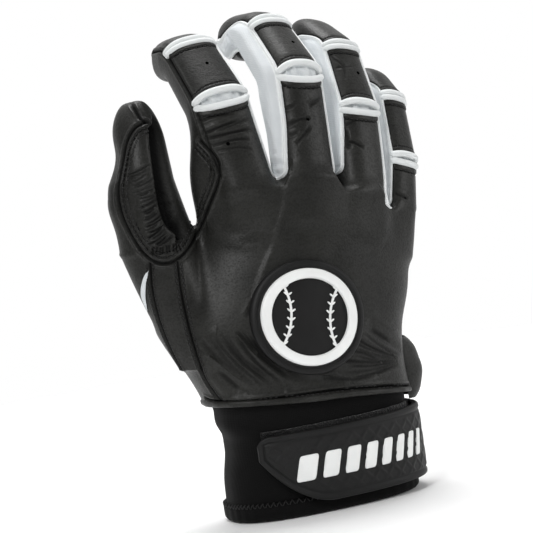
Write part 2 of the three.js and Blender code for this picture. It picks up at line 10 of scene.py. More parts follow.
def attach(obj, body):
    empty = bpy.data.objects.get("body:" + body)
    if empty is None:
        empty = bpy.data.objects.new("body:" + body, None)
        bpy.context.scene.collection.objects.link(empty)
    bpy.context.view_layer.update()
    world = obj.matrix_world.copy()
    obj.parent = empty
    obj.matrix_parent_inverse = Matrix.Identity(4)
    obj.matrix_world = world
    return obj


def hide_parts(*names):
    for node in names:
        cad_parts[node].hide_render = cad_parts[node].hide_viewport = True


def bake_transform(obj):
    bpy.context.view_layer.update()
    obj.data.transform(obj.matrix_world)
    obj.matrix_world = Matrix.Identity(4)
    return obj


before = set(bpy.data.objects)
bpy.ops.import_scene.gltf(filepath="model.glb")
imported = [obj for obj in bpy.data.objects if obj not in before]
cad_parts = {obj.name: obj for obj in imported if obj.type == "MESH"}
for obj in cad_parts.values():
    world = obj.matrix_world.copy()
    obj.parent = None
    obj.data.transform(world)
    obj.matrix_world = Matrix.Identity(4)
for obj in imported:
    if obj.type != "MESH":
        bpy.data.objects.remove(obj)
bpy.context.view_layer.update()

# Hand form
# The glove is shown full, as on a hand. All its leather and elastic is drawn over this form:
# four fingers and a thumb as bent, tapering tubes that run smoothly into an arched hand.

FINGERS = {
    "index": dict(knuckle=(-15, -2, 136), turn=4, splay=-4, bends=(15, 24, 46), lengths=(36, 20, 18),
                  widths=(12.4, 13.2, 12.6, 10.6), depths=(11.5, 11, 10.2, 8.8)),
    "middle": dict(knuckle=(11, -5, 139), turn=12, splay=9, bends=(14, 33, 38), lengths=(37, 21, 26),
                   widths=(12, 11.8, 11, 9.4), depths=(11.8, 11.8, 11, 9.2)),
    "ring": dict(knuckle=(36, -1, 128), turn=16, splay=15, bends=(17, 15, 30), lengths=(33, 24, 27),
                 widths=(11.4, 11.2, 10.4, 9.2), depths=(11, 10.4, 9.8, 8.8)),
    "little": dict(knuckle=(53.8, 7, 116), turn=20, splay=20, bends=(14, 12, 24), lengths=(21, 24, 20),
                   widths=(9, 8.8, 8.4, 7.6), depths=(10, 9.6, 9, 8)),
}
THUMB = dict(knuckle=(-53.5, 10, 121), turn=-50, splay=-8.5, bends=(0, 14), lengths=(24, 34),
             widths=(15, 13, 9.2), depths=(14.8, 12.8, 9.4))
THUMB_FOOT, THUMB_FOOT_GIRTH = np.array([-42.5, 0.0, 69.0]), 0.74
FINGER_ROUNDNESS, HAND_ROUNDNESS = 2.6, 2.5
# How far a finger's and the thumb's first tube reach back into the hand
KNUCKLE_RUN, THUMB_RUN = 16.0, 0.5
TIP_START, TIP_WIDTH_LEFT, TIP_DEPTH_LEFT = 0.45, 0.34, 0.16
# Hand sections from the leather's hem to the knuckles: centre, half width, half depth
HAND = np.array([(0, 45, 26.5), (-3, 48, 25.6), (-5.5, 53, 23.5), (1.5, 52.5, 20), (11, 47.5, 16),
                 (17.5, 46.5, 12.2)])
# About the height from the hem to the knuckles
HAND_HEIGHT = 90.0
HEM_Z, HEM_RISE, HEM_ARCH = 40.2, 9.6, 1.6
ARCH_RISE, ARCH_CENTRE, ARCH_REACH, HAND_SHIFT_Y = 12.0, 10.0, 44.0, -5.0
# Rise of the knuckle line past a finger's sides, in mm per mm
KNUCKLE_FLARE = 1.5
# Fold of loose leather at the thumb side of the index knuckle
FOLD_CENTRE, FOLD_HALF = np.array([-26.0, 5.0, 141.0]), np.array([10.0, 7.0, 24.0])
# Fillets: between fingers, of fingers, fold and thumb with the hand, of the thumb with its root
FINGER_FILLET, HAND_FILLET, FOLD_FILLET, THUMB_FILLET, ROOT_FILLET = 2.5, 9.0, 6.0, 5.0, 1.5
# The room that a finger takes up, measured from its knuckle
FINGER_MIDDLE, FINGER_REACH = (0, 18, 40), 78
FAR = 1e3


def rotation(axis, degrees):
    c, s = math.cos(math.radians(degrees)), math.sin(math.radians(degrees))
    return np.array({"x": [[1, 0, 0], [0, c, -s], [0, s, c]], "y": [[c, 0, s], [0, 1, 0], [-s, 0, c]],
                     "z": [[c, -s, 0], [s, c, 0], [0, 0, 1]]}[axis], float)


def digit(size, run):
    """The stages of a finger: straight tubes, and bends turned about a crease on the palm side."""
    turn = rotation("y", size["splay"]) @ rotation("z", size["turn"])
    width, depth = size["widths"], size["depths"]
    place = np.array(size["knuckle"], float) + turn @ (0, depth[0], 0)
    stages = [dict(kind="tube", place=place - turn @ (0, 0, run), turn=turn, size=run, start=-run,
                   widths=(width[0], width[0]), depths=(depth[0], depth[0]), tip=False)]
    start = 0.0
    for i, length in enumerate(size["lengths"]):
        bend = math.radians(size["bends"][i])
        if bend:
            stages.append(dict(kind="bend", place=place, turn=turn, size=bend, start=start,
                               widths=(width[i], width[i]), depths=(depth[i], depth[i]), tip=False))
        start += 2 * depth[i] * bend
        turn = turn @ rotation("x", -size["bends"][i])
        stages.append(dict(kind="tube", place=place, turn=turn, size=length, start=start,
                           widths=width[i:i + 2], depths=depth[i:i + 2], tip=i + 1 == len(size["lengths"])))
        start += length
        place = place + turn @ (0, 0, length)
    return stages


def between(pair, share):
    return pair[0] + (pair[1] - pair[0]) * share


def signed_power(value, power):
    return np.sign(value) * np.abs(value) ** power


def rounded(x, y, width, depth, roundness):
    """Distance to a rounded section's edge, and the angle from the middle of its back in degrees."""
    reach = np.hypot(x, y)
    ratio = (np.abs(x / width) ** roundness + np.abs(y / depth) ** roundness) ** (1 / roundness)
    across = signed_power(x / width, roundness / 2)
    back = -signed_power(y / depth, roundness / 2)
    return reach - reach / np.maximum(ratio, 1e-6), np.degrees(np.arctan2(across, back))


def ended(side, outside):
    """Distance to a form that stops: beside it, or beyond its end."""
    return np.where(outside > 0, np.hypot(np.maximum(side, 0), outside), side)


def measure(points, stages):
    """Distance to a digit's skin, the place along its back in mm and the angle round it."""
    best, along, around = (np.full(len(points), value) for value in (FAR, 0.0, 0.0))
    for stage in stages:
        q = (points - stage["place"]) @ stage["turn"]
        if stage["kind"] == "bend":
            swing = np.arctan2(q[:, 2], -q[:, 1])
            share = np.clip(swing / stage["size"], 0, 1)
            outside = np.where((swing >= 0) & (swing <= stage["size"]), 0, FAR)
            width, depth = stage["widths"][0], stage["depths"][0]
            y = depth - np.hypot(q[:, 1], q[:, 2])
            length = 2 * depth * stage["size"]
        else:
            length = stage["size"]
            share = np.clip(q[:, 2] / length, 0, 1)
            outside = np.maximum(np.maximum(-q[:, 2], q[:, 2] - length), 0)
            width, depth = between(stage["widths"], share), between(stage["depths"], share)
            y = q[:, 1] + depth
            if stage["tip"]:
                closing = np.maximum(0, (share - TIP_START) / (1 - TIP_START))
                left = np.sqrt(1 - closing ** 2)
                width = width * between((TIP_WIDTH_LEFT, 1), left)
                depth = depth * between((TIP_DEPTH_LEFT, 1), left)
        side, angle = rounded(q[:, 0], y, width, depth, FINGER_ROUNDNESS)
        distance = ended(side, outside)
        closer = distance < best
        best = np.where(closer, distance, best)
        along = np.where(closer, stage["start"] + share * length, along)
        around = np.where(closer, angle, around)
    return best, along, around


def knuckle_line(x):
    """Height of the line under the four knuckles, at a place across the hand."""
    heights = []
    for size in FINGERS.values():
        slope = math.tan(math.radians(size["splay"]))
        reach = size["widths"][0] * math.cos(math.radians(size["splay"]))
        inside = np.clip(x - size["knuckle"][0], -reach, reach)
        outside = np.abs(x - size["knuckle"][0] - inside)
        heights.append(size["knuckle"][2] - inside * slope + KNUCKLE_FLARE * outside)
    return np.min(heights, axis=0)


def smooth(a, b, c, d, t):
    """A place between b and c on a smooth curve through four places."""
    return b + 0.5 * t * (c - a + t * (2 * a - 5 * b + 4 * c - d + t * (3 * (b - c) + d - a)))


def hand_section(up):
    """Centre, half width and half depth of the hand at a share of its height."""
    knots = len(HAND) - 1
    place = np.clip(up, 0, 1) * knots
    k = np.minimum(place.astype(int), knots - 1)
    return smooth(*(HAND[np.clip(k + step, 0, knots)] for step in (-1, 0, 1, 2)), (place - k)[:, None])


def hem_height(angle):
    angle = np.radians(angle)
    return HEM_Z + HEM_RISE * (1 - np.sin(angle)) / 2 + HEM_ARCH * np.maximum(0, np.cos(angle))


def measure_hand(points):
    """Distance to the hand's skin, the share of its height and the angle round it, found step by step."""
    x, y, z = points.T
    up, angle = np.clip((z - HEM_Z) / HAND_HEIGHT, 0, 1), np.zeros(len(points))
    for _ in range(5):
        centre, width, depth = hand_section(up).T
        arch = up * ARCH_RISE * ((x - ARCH_CENTRE) / ARCH_REACH) ** 2
        side, angle = rounded(x - centre, y - arch - HAND_SHIFT_Y * up ** 2, width, depth, HAND_ROUNDNESS)
        across = HAND[-1, 0] + HAND[-1, 1] * signed_power(np.sin(np.radians(angle)), 2 / HAND_ROUNDNESS)
        low, high = hem_height(angle), knuckle_line(across)
        up = np.clip((z - low) / (high - low), 0, 1)
    return ended(side, np.maximum(z - high, 0)), up, angle


def melt(a, b, reach):
    """Joins two forms with a soft fillet."""
    share = np.clip(0.5 + 0.5 * (b - a) / reach, 0, 1)
    return b + (a - b) * share - reach * share * (1 - share)


digits = {name: digit(size, KNUCKLE_RUN) for name, size in FINGERS.items()}
digits["thumb"] = digit(THUMB, THUMB_RUN)


def measure_thumb_root(points):
    """Distance to the sleeve that runs from the thumb's knuckle down into the heel of the hand."""
    turn = rotation("y", THUMB["splay"]) @ rotation("z", THUMB["turn"])
    q = (points - np.array(THUMB["knuckle"])) @ turn
    foot = (THUMB_FOOT - np.array(THUMB["knuckle"])) @ turn
    share = np.clip(q[:, 2] / foot[2], 0, 1)
    girth = 1 + (THUMB_FOOT_GIRTH - 1) * share ** 2
    side, _ = rounded(q[:, 0] - foot[0] * share, q[:, 1] - foot[1] * share,
                      THUMB["widths"][0] * girth, THUMB["depths"][0] * girth, FINGER_ROUNDNESS)
    return ended(side, np.maximum(np.maximum(q[:, 2], foot[2] - q[:, 2]), 0))


def form(points):
    """Distance from the whole form's skin, below zero inside."""
    fingers = np.full(len(points), FAR)
    for name in FINGERS:
        middle = np.array(FINGERS[name]["knuckle"]) + FINGER_MIDDLE
        near = np.abs(points - middle).max(axis=1) < FINGER_REACH
        one = np.full(len(points), FAR)
        if near.any():
            one[near] = measure(points[near], digits[name])[0]
        fingers = melt(fingers, one, FINGER_FILLET)
    whole = melt(measure_hand(points)[0], fingers, HAND_FILLET)
    thumb = melt(measure(points, digits["thumb"])[0], measure_thumb_root(points), ROOT_FILLET)
    fold = np.linalg.norm((points - FOLD_CENTRE) / FOLD_HALF, axis=1)
    whole = melt(whole, (fold - 1) * FOLD_HALF.min(), FOLD_FILLET)
    return melt(whole, thumb, THUMB_FILLET)


# The form is meshed in cells of STEP mm; only those near its skin are measured one by one
STEP, COARSE, NEAR_CELLS = 1.25, 4, 1.6
BLOCK_LOW, BLOCK_HIGH = np.array([-84, -38, 34.0]), np.array([86, 64, 224.0])
RELAX_ROUNDS, RELAX, PROBE = 4, 0.6, 0.05


def surface_net(value, low):
    """A net of quads over the zero level of a block of distances."""
    inside = value < 0
    cells = np.array(value.shape) - 1
    total, count, quads = np.zeros((cells.prod(), 3)), np.zeros(cells.prod()), []
    for axis in range(3):
        first = tuple(slice(None, -1) if a == axis else slice(1, -1) for a in range(3))
        second = tuple(slice(1, None) if a == axis else slice(1, -1) for a in range(3))
        index = np.argwhere(inside[first] != inside[second]) + [0 if a == axis else 1 for a in range(3)]
        other = index + [1 if a == axis else 0 for a in range(3)]
        here, there = value[tuple(index.T)], value[tuple(other.T)]
        place = index.astype(float)
        place[:, axis] += here / (here - there)
        ring = []
        for du, dv in ((-1, -1), (0, -1), (0, 0), (-1, 0)):
            cell = index.copy()
            cell[:, (axis + 1) % 3] += du
            cell[:, (axis + 2) % 3] += dv
            flat = np.ravel_multi_index(cell.T, cells)
            for a in range(3):
                total[:, a] += np.bincount(flat, place[:, a], len(total))
            count += np.bincount(flat, minlength=len(count))
            ring.append(flat)
        ring = np.stack(ring, 1)
        quads.append(np.where((here < 0)[:, None], ring, ring[:, ::-1]))
    used = np.flatnonzero(count)
    number = np.zeros(len(count), int)
    number[used] = np.arange(len(used))
    return low + STEP * total[used] / count[used][:, None], number[np.concatenate(quads)]


def form_mesh():
    """Points and triangles of the form, evened out and drawn back on to its skin."""
    shape = np.ceil((BLOCK_HIGH - BLOCK_LOW) / STEP / COARSE).astype(int) * COARSE + 1
    grid = np.stack(np.meshgrid(*[np.arange(n) for n in shape], indexing="ij"), -1)
    rough = grid[::COARSE, ::COARSE, ::COARSE]
    level = form(BLOCK_LOW + STEP * rough.reshape(-1, 3)).reshape(rough.shape[:3])
    nearest = np.round(grid / COARSE).astype(int)
    value = level[nearest[..., 0], nearest[..., 1], nearest[..., 2]]
    near = np.abs(value) < NEAR_CELLS * STEP * COARSE
    value[near] = form(BLOCK_LOW + STEP * grid[near])
    points, quads = surface_net(value, BLOCK_LOW)
    triangles = np.concatenate([quads[:, [0, 1, 2]], quads[:, [0, 2, 3]]])
    edges = np.unique(np.sort(np.concatenate([quads[:, [k, (k + 1) % 4]] for k in range(4)]), 1), axis=0)
    degree = np.bincount(edges.ravel(), minlength=len(points))[:, None]
    for _ in range(RELAX_ROUNDS):
        middle = np.zeros_like(points)
        for a, b in (edges.T, edges.T[::-1]):
            for k in range(3):
                middle[:, k] += np.bincount(a, points[b, k], len(points))
        points = points + RELAX * (middle / degree - points)
        here = form(points)
        slope = np.stack([(form(points + PROBE * step) - here) / PROBE for step in np.eye(3)], 1)
        points = points - (here / np.maximum((slope ** 2).sum(1), 0.2))[:, None] * slope
    return points, triangles


skin, net = form_mesh()

# Seam lines
# The pattern pieces are cut so that their seams fall where they do on the finished glove. Lines on
# the back are drawn on a sheet laid square to the view of the back, in squares of 0.43 mm.

EYE_BACK = np.array([-0.3407, -0.9361, 0.0872])
EYE_RIGHT = np.array([0.9250, -0.3503, -0.1472])
EYE_UP = np.array([0.1684, 0.0305, 0.9852])
EYE_TARGET = np.array([-5.5, 11.6, 102.9])
EYE_DISTANCE = 1100.0
EYE = EYE_TARGET + EYE_DISTANCE * EYE_BACK
SQUARE, SHEET_MIDDLE = 0.43, 266.5
# Fourchettes close in a rounded point at these heights between the fingers, mm, and there their back
# seams lean by these degrees on the left and on the right finger
CROTCHES = (("index", "middle", 140.0, (6, 13)), ("middle", "ring", 137.5, (0, 14)),
            ("ring", "little", 119.0, (-15, 5)))
LEAN_RUN, CROTCH_ROUND = 26.0, 4.5
SEAM_INSIDE, PALM_SEAM = 2.0, 122.0
# Along the fingertips a fourchette narrows and then shuts, in degrees; the one that faces the index
# finger on the middle finger stays wide for longer
TIP_RUN, TIP_NARROW, TIP_WIDE, TIP_SHUT = 0.7, 34, 40, 50
SHUT_FROM, SHUT_TO, WIDE_SHUT_FROM, WIDE_SHUT_TO = 0.45, 0.9, 0.86, 1.0
# Radius that turns angles round a finger into mm, the distance where there is no seam, and the distance
# within which a point of the net counts as on the seam
FINGER_RADIUS, NO_SEAM, SNAP = 11, 20.0, 0.08
# Angles of the side seams of each finger's back
BACK_EDGES = {"index": (-62.0, 57.0), "middle": (-59.0, 50.0), "ring": (-57.0, 42.0),
              "little": (-46.0, 62.0)}
# Half openings of the lower (1) and upper (2) white band over the finger joints, mm, and at their sides
BAND_OPEN = {1: {"index": 3.4, "middle": 4.0, "ring": 2.6, "little": 2.0},
             2: {"index": 1.6, "middle": 1.6, "ring": 1.5, "little": 1.4}}
BAND_SIDE, BAND_CURVE = {1: 1.25, 2: 1.1}, 2.2
# How far each band's middle lies from the bend, towards the hand
BAND_BACK = {"index": (2.8, 1.6), "middle": (3.0, 3.6), "ring": (3.0, 2.2), "little": (2.4, 1.2)}
finger_names = list(FINGERS)


def ease(value, low, high):
    t = np.clip((value - low) / (high - low), 0, 1)
    return t * t * (3 - 2 * t)


def on_sheet(points):
    """Where points show on the drawing sheet, in squares across and down."""
    v = points - EYE
    scale = EYE_DISTANCE / -(v @ EYE_BACK) / SQUARE
    return np.stack([SHEET_MIDDLE + (v @ EYE_RIGHT) * scale, SHEET_MIDDLE - (v @ EYE_UP) * scale], 1)


def finger_places(points):
    """Nearest finger, distance, place along its back and angle round it."""
    readings = [measure(points, digits[name]) for name in FINGERS]
    nearest = np.argmin([reading[0] for reading in readings], axis=0)
    distance, along, around = (np.choose(nearest, [reading[k] for reading in readings]) for k in range(3))
    return nearest, distance, along, around


def stages_of(name, kind):
    return [stage for stage in digits[name] if stage["kind"] == kind]


def tube_start(name, number):
    return stages_of(name, "tube")[number]["start"]


def band_middle(name, number):
    """Place along the back of the middle of a finger's first or second white band."""
    stage = stages_of(name, "bend")[number]
    return stage["start"] + stage["depths"][0] * stage["size"] - BAND_BACK[name][number - 1]


def across_back(name, around):
    """Place across a finger's back, from -1 at one side seam to 1 at the other."""
    low, high = BACK_EDGES[name]
    return (2 * around - low - high) / (high - low)


def band_half(name, number, around):
    """Half width of a white band: open in the middle of the back, closed at its sides."""
    opened, side = BAND_OPEN[number][name], BAND_SIDE[number]
    return side + (opened - side) * np.maximum(0, 1 - np.abs(across_back(name, around)) ** BAND_CURVE)


def seam_fields(points):
    """Distances in mm, below zero inside: three fourchettes, eight bands, the space under the hem."""
    nearest, distance, along, around = finger_places(points)
    on_thumb = measure(points, digits["thumb"])[0] < distance
    tip_start = np.array([tube_start(name, 3) for name in finger_names])[nearest]
    tip_length = np.array([FINGERS[name]["lengths"][2] for name in finger_names])[nearest]
    to_tip = ease(along, tip_start, tip_start + TIP_RUN * tip_length)
    fields = []
    for left, right, height, leans in CROTCHES:
        on_left = nearest == finger_names.index(left)
        side = np.where(on_left, around, -around)
        lean = np.where(on_left, *leans) * (1 - ease(points[:, 2], height, height + LEAN_RUN))
        back_seam = np.where(on_left, BACK_EDGES[left][1], -BACK_EDGES[right][0]) - SEAM_INSIDE + lean
        half = (PALM_SEAM - back_seam) / 2
        rise = np.clip((points[:, 2] - height) / CROTCH_ROUND, -1, 1)
        closed = half * (1 + np.maximum(-rise, 0) - np.sqrt(1 - (1 - np.maximum(rise, 0)) ** 2))
        wide = (left == "index") & (nearest == finger_names.index(right))
        shut_from = tip_start + np.where(wide, WIDE_SHUT_FROM, SHUT_FROM) * tip_length
        shut_to = tip_start + np.where(wide, WIDE_SHUT_TO, SHUT_TO) * tip_length
        closed = closed + TIP_SHUT * ease(along, shut_from, shut_to)
        strip = np.maximum(back_seam + closed + TIP_NARROW * to_tip - side,
                           side - PALM_SEAM + closed - np.where(wide, TIP_WIDE, 0) * to_tip)
        strip = strip * math.radians(FINGER_RADIUS)
        mine = np.isin(nearest, (finger_names.index(left), finger_names.index(right))) & ~on_thumb
        fields.append(np.where(mine, strip, NO_SEAM))
    for k, name in enumerate(finger_names):
        for number in (1, 2):
            band = np.maximum(np.abs(along - band_middle(name, number)) - band_half(name, number, around),
                              (np.abs(across_back(name, around)) - 1) * FINGER_RADIUS)
            fields.append(np.where((nearest == k) & ~on_thumb, band, NO_SEAM))
    _, _, hand_angle = measure_hand(points)
    fields.append(points[:, 2] - hem_height(hand_angle))
    return np.stack(fields, 1)


def split(points, values, triangles, marked, share):
    """Puts a new point on each marked edge, and divides the triangles to suit."""
    corner = np.stack([triangles, np.roll(triangles, -1, 1)], -1).reshape(-1, 2)
    edges, number = np.unique(np.sort(corner, 1), axis=0, return_inverse=True)
    number = number.reshape(-1, 3)
    mark, where = marked(edges), share(edges)
    fresh = np.full(len(edges), -1)
    fresh[mark] = len(points) + np.arange(mark.sum())
    a, b, t = edges[mark, 0], edges[mark, 1], where[mark][:, None]
    points = np.concatenate([points, points[a] + (points[b] - points[a]) * t])
    values = np.concatenate([values, values[a] + (values[b] - values[a]) * t])
    new = fresh[number]
    count = (new >= 0).sum(1)
    out = [triangles[count == 0]]
    for wanted in (1, 2, 3):
        for turn in range(3):
            tri, mid = np.roll(triangles, -turn, 1), np.roll(new, -turn, 1)
            first = {1: mid[:, 0] >= 0, 2: mid[:, 2] < 0, 3: np.full(len(mid), turn == 0)}[wanted]
            pick = (count == wanted) & first
            (p, q, r), (m, n, o) = tri[pick].T, mid[pick].T
            parts = {1: ((p, m, r), (m, q, r)), 2: ((m, q, n), (p, m, n), (p, n, r)),
                     3: ((p, m, o), (m, q, n), (o, n, r), (m, n, o))}[wanted]
            out.extend(np.stack(part, 1) for part in parts)
    return points, values, np.concatenate(out)


fields = seam_fields(skin)
for k in range(fields.shape[1]):
    fields[np.abs(fields[:, k]) < SNAP, k] = 0.0
    level = fields[:, k]
    skin, fields, net = split(
        skin, fields, net, lambda edges: level[edges[:, 0]] * level[edges[:, 1]] < 0,
        lambda edges: level[edges[:, 0]] / np.where(level[edges[:, 0]] == level[edges[:, 1]], 1,
                                                    level[edges[:, 0]] - level[edges[:, 1]]))
net = net[fields[net, -1].mean(1) >= 0]
form_tree = BVHTree.FromPolygons(skin.tolist(), net.tolist())
WEB_FRAME = [(147, 122), (135, 128), (127, 141), (123, 154), (119.5, 173), (118.3, 189.5), (121, 205),
             (126, 223), (134, 240), (144, 254), (156, 262.5), (169, 263), (181, 257), (190, 247),
             (197, 233), (204, 218), (211, 201), (217, 184), (219, 169), (216, 159), (209, 150), (200, 141)]
STRIP_FRONT = [(178, 262), (181, 290), (187, 320), (194, 347), (204, 376), (215, 394), (221, 401)]
STRIP_BACK = [(150, 264), (152, 290), (159, 320), (171, 350), (186, 377), (200, 402)]
HEM_STITCH = [(206, 398), (214, 401), (236, 402), (257, 401), (301, 395), (349, 389), (397, 385.5),
              (410, 385)]
# The outer side seams of index and little finger start this far along the finger and end half up its tip
SIDE_SEAMS = (("index", BACK_EDGES["index"][0], 12), ("little", BACK_EDGES["little"][1], 6))


def drawn(points, gap):
    """A smooth run of places through a few drawn ones, about gap apart."""
    points = np.asarray(points, float)
    padded = np.concatenate([[2 * points[0] - points[1]], points, [2 * points[-1] - points[-2]]])
    run = []
    for k in range(1, len(padded) - 2):
        a, b, c, d = padded[k - 1:k + 3]
        t = np.linspace(0, 1, max(2, int(np.linalg.norm(c - b) / gap) + 1))[:-1, None]
        run.append(smooth(a, b, c, d, t))
    return np.concatenate(run + [points[-1:]])


def cast(squares):
    """Drops a line drawn on the sheet on to the form; gives its points and their normals."""
    found = []
    for across, down in drawn(squares, 1.0):
        toward = (across - SHEET_MIDDLE) * SQUARE * EYE_RIGHT + (SHEET_MIDDLE - down) * SQUARE * EYE_UP
        direction = EYE_TARGET + toward - EYE
        place, normal, _, _ = form_tree.ray_cast(Vector(EYE), Vector(direction).normalized())
        if place is not None:
            found.append((place, normal))
    found = np.array(found).reshape(-1, 2, 3)
    return found[:, 0], found[:, 1]


def finger_point(name, along, around, lift=0.0):
    """A place on a finger's skin, or lifted off it."""
    stage = [s for s in digits[name] if s["start"] <= along][-1]
    angle = math.radians(around)
    across = signed_power(math.sin(angle), 2 / FINGER_ROUNDNESS)
    back = signed_power(math.cos(angle), 2 / FINGER_ROUNDNESS)
    if stage["kind"] == "bend":
        width, depth = stage["widths"][0], stage["depths"][0]
        swing = (along - stage["start"]) / (2 * depth)
        reach = depth + back * (depth + lift)
        local = np.array([across * (width + lift), -reach * math.cos(swing), reach * math.sin(swing)])
    else:
        share = min(1, (along - stage["start"]) / stage["size"])
        width, depth = between(stage["widths"], share), between(stage["depths"], share)
        local = np.array([across * (width + lift), -depth - back * (depth + lift), along - stage["start"]])
    return stage["place"] + stage["turn"] @ local


seam_lines = [cast(line)[0] for line in (WEB_FRAME, STRIP_FRONT, STRIP_BACK, HEM_STITCH)]
for name, around, low in SIDE_SEAMS:
    tip = tube_start(name, 3) + 0.5 * FINGERS[name]["lengths"][2]
    seam_lines.append(np.array([finger_point(name, s, around) for s in np.arange(low, tip, 0.6)]))

# Stitch rows
# Rows of lockstitch run beside the seams of the web panel and the side strip, along the hem, and
# beside the ribs of every finger band. They are laid out here, because the leather sinks under them.

WEB_ROWS, STRIP_ROWS = (-2.4, -4.3), (1.4, -1.4)
STITCH, PITCH, THREAD = 1.55, 2.25, 0.27
# Radius of the ribs of the lower (1) and upper (2) bands, and the gap from a rib to its stitches
RIB, ROW_GAP = {1: 1.55, 2: 1.35}, 2.1
# Spacing of a row's points, the jump that parts a row, its fewest points and how far it ends from the seam
ROW_STEP, ROW_JUMP, ROW_SHORTEST, ROW_END = 0.25, 3, 24, 4


def rows_beside(squares, gaps):
    """Stitch rows at distances beside a seam drawn on the sheet, parted where it jumps between folds."""
    places, ups = cast(squares)
    jumps = np.flatnonzero(np.linalg.norm(np.diff(places, axis=0), axis=1) > ROW_JUMP) + 1
    rows = []
    for part in np.split(np.arange(len(places)), jumps):
        if len(part) <= ROW_SHORTEST:
            continue
        path, up = places[part], ups[part]
        for k in range(3):
            path[4:-4, k] = np.convolve(path[:, k], np.ones(9) / 9, "valid")
            up[:, k] = np.convolve(np.pad(up[:, k], 10, "edge"), np.ones(21) / 21, "valid")
        side = np.cross(np.gradient(path, axis=0), up)
        length = np.maximum(np.linalg.norm(side, axis=1), 1e-6)[:, None]
        rows.extend(path + gap * side / length for gap in gaps)
    return rows


def run_of(path):
    """Distance along a path at each of its points."""
    return np.concatenate([[0], np.cumsum(np.linalg.norm(np.diff(path, axis=0), axis=1))])


def places_at(path, run, marks):
    """Places on a path where its run has some values."""
    return np.stack([np.interp(marks, run, path[:, k]) for k in range(3)], 1)


stitch_rows = (rows_beside(WEB_FRAME, WEB_ROWS) + rows_beside(STRIP_FRONT, STRIP_ROWS)
               + rows_beside(STRIP_BACK, STRIP_ROWS) + rows_beside(HEM_STITCH, (0.0,)))
for name in finger_names:
    angles = np.linspace(BACK_EDGES[name][0] + ROW_END, BACK_EDGES[name][1] - ROW_END, 90)
    for number, radius in RIB.items():
        for side in (-1, 1):
            clear = [max(band_half(name, number, a), radius) + radius + ROW_GAP for a in angles]
            stitch_rows.append(np.array([finger_point(name, band_middle(name, number) + side * gap, a)
                                         for gap, a in zip(clear, angles)]))
stitch_rows = [places_at(row, run_of(row), np.arange(0, run_of(row)[-1], ROW_STEP)) for row in stitch_rows]

# Folds and creases
# Worn leather keeps its folds: broad ones above the wrist, sharp ones over the finger joints, and fine
# gathers in the thumb. Each is a line on the sheet with a half width and a depth in mm.

FOLDS = [
    ([(200, 340), (222, 360), (254, 380)], 4.0, 1.1),
    ([(241, 328), (267, 348), (286, 362), (300, 376), (321, 382), (344, 380)], 4.5, 1.3),
    ([(211, 362), (232, 383), (254, 394)], 3.0, 0.9),
    ([(366, 322), (382, 336), (401, 348)], 3.0, 0.9),
    ([(318, 366), (342, 372), (369, 371), (387, 362)], 2.4, 0.7),
    ([(228, 345), (246, 362), (268, 380)], 2.6, 0.5),
    ([(240, 190), (243, 215), (240, 245)], 9.0, 1.2),
]
INDEX_CREASES = [
    ([(201.6, 134.4), (221.5, 126), (239.7, 119.5)], 0.9, 0.55),
    ([(203, 139.4), (229.8, 132.8), (253, 127.8)], 0.9, 0.55),
    ([(210, 146), (234.7, 139.4), (249.7, 138.6)], 0.8, 0.45),
    ([(196.6, 122.8), (213, 116), (234.7, 113)], 0.8, 0.45),
    ([(217, 131), (235, 124), (250, 117)], 0.7, 0.35),
    ([(214, 152), (236, 147), (252, 149)], 0.7, 0.3),
]
MIDDLE_CREASES = [
    ([(286, 126), (299.4, 119.5), (311, 117.8)], 0.8, 0.4),
    ([(296, 144.4), (304.4, 134.4), (311, 126)], 0.8, 0.4),
    ([(287.8, 136), (299.4, 131)], 0.7, 0.35),
    ([(307.7, 106), (321, 98)], 0.8, 0.35),
    ([(283, 110), (297, 104)], 0.7, 0.3),
]
RING_AND_LITTLE_CREASES = [
    ([(342.5, 144.4), (352.5, 141.9), (364, 147.7)], 0.9, 0.5),
    ([(344, 126), (355.8, 119.5)], 0.7, 0.35),
    ([(394, 192.5), (409, 199)], 0.8, 0.4),
    ([(330, 55), (343, 66), (346, 80)], 0.8, 0.3),
    ([(335, 68), (352, 66)], 0.7, 0.3),
]
WRIST_CREASES = [
    ([(322, 377), (350, 379), (376, 374)], 1.0, 0.4),
    ([(334, 349), (360, 352), (382, 362)], 1.1, 0.4),
    ([(372, 328), (392, 341)], 1.2, 0.4),
    ([(236, 330), (258, 352)], 1.3, 0.4),
    ([(218, 372), (240, 391)], 1.2, 0.4),
    ([(255, 300), (247, 318)], 1.2, 0.3),
]
TIP_AND_SEAM_CREASES = [
    ([(130, 102), (135, 110), (142, 120), (151, 123)], 0.9, 0.8),
    ([(224.6, 42), (229.4, 48.7)], 0.9, 0.5),
    ([(232.3, 34.4), (239, 43.9)], 0.9, 0.5),
    ([(236, 51.6), (242, 60)], 0.9, 0.6),
    ([(229, 35), (232, 45)], 0.8, 0.4),
    ([(243, 70), (248, 84), (250, 98)], 1.5, 0.5),
    ([(344, 128), (349, 150)], 1.3, 0.5),
]
creases = INDEX_CREASES + MIDDLE_CREASES + RING_AND_LITTLE_CREASES + WRIST_CREASES + TIP_AND_SEAM_CREASES
random = np.random.default_rng(7)


def scattered(start, run, share, spread):
    """A place part of the way along a run, a little off it by chance."""
    return np.array(start) + share * np.array(run) + random.normal(0, spread, 2)


# Fine lines across the thumb, each over a part of its face
for share in np.linspace(0, 1, 26):
    left = scattered((123, 176), (25, 76), share, 1.2)
    right = scattered((153, 164), (20, 70), share, 1.5)
    first, last = random.uniform(0, 0.3), random.uniform(0.6, 1)
    ends = [left + (right - left) * part for part in (first, 0.5 * (first + last), last)]
    ends[1] += (0, 1.5)
    creases.append((ends, random.uniform(0.5, 0.8), random.uniform(0.2, 0.45) + 0.3 * share))
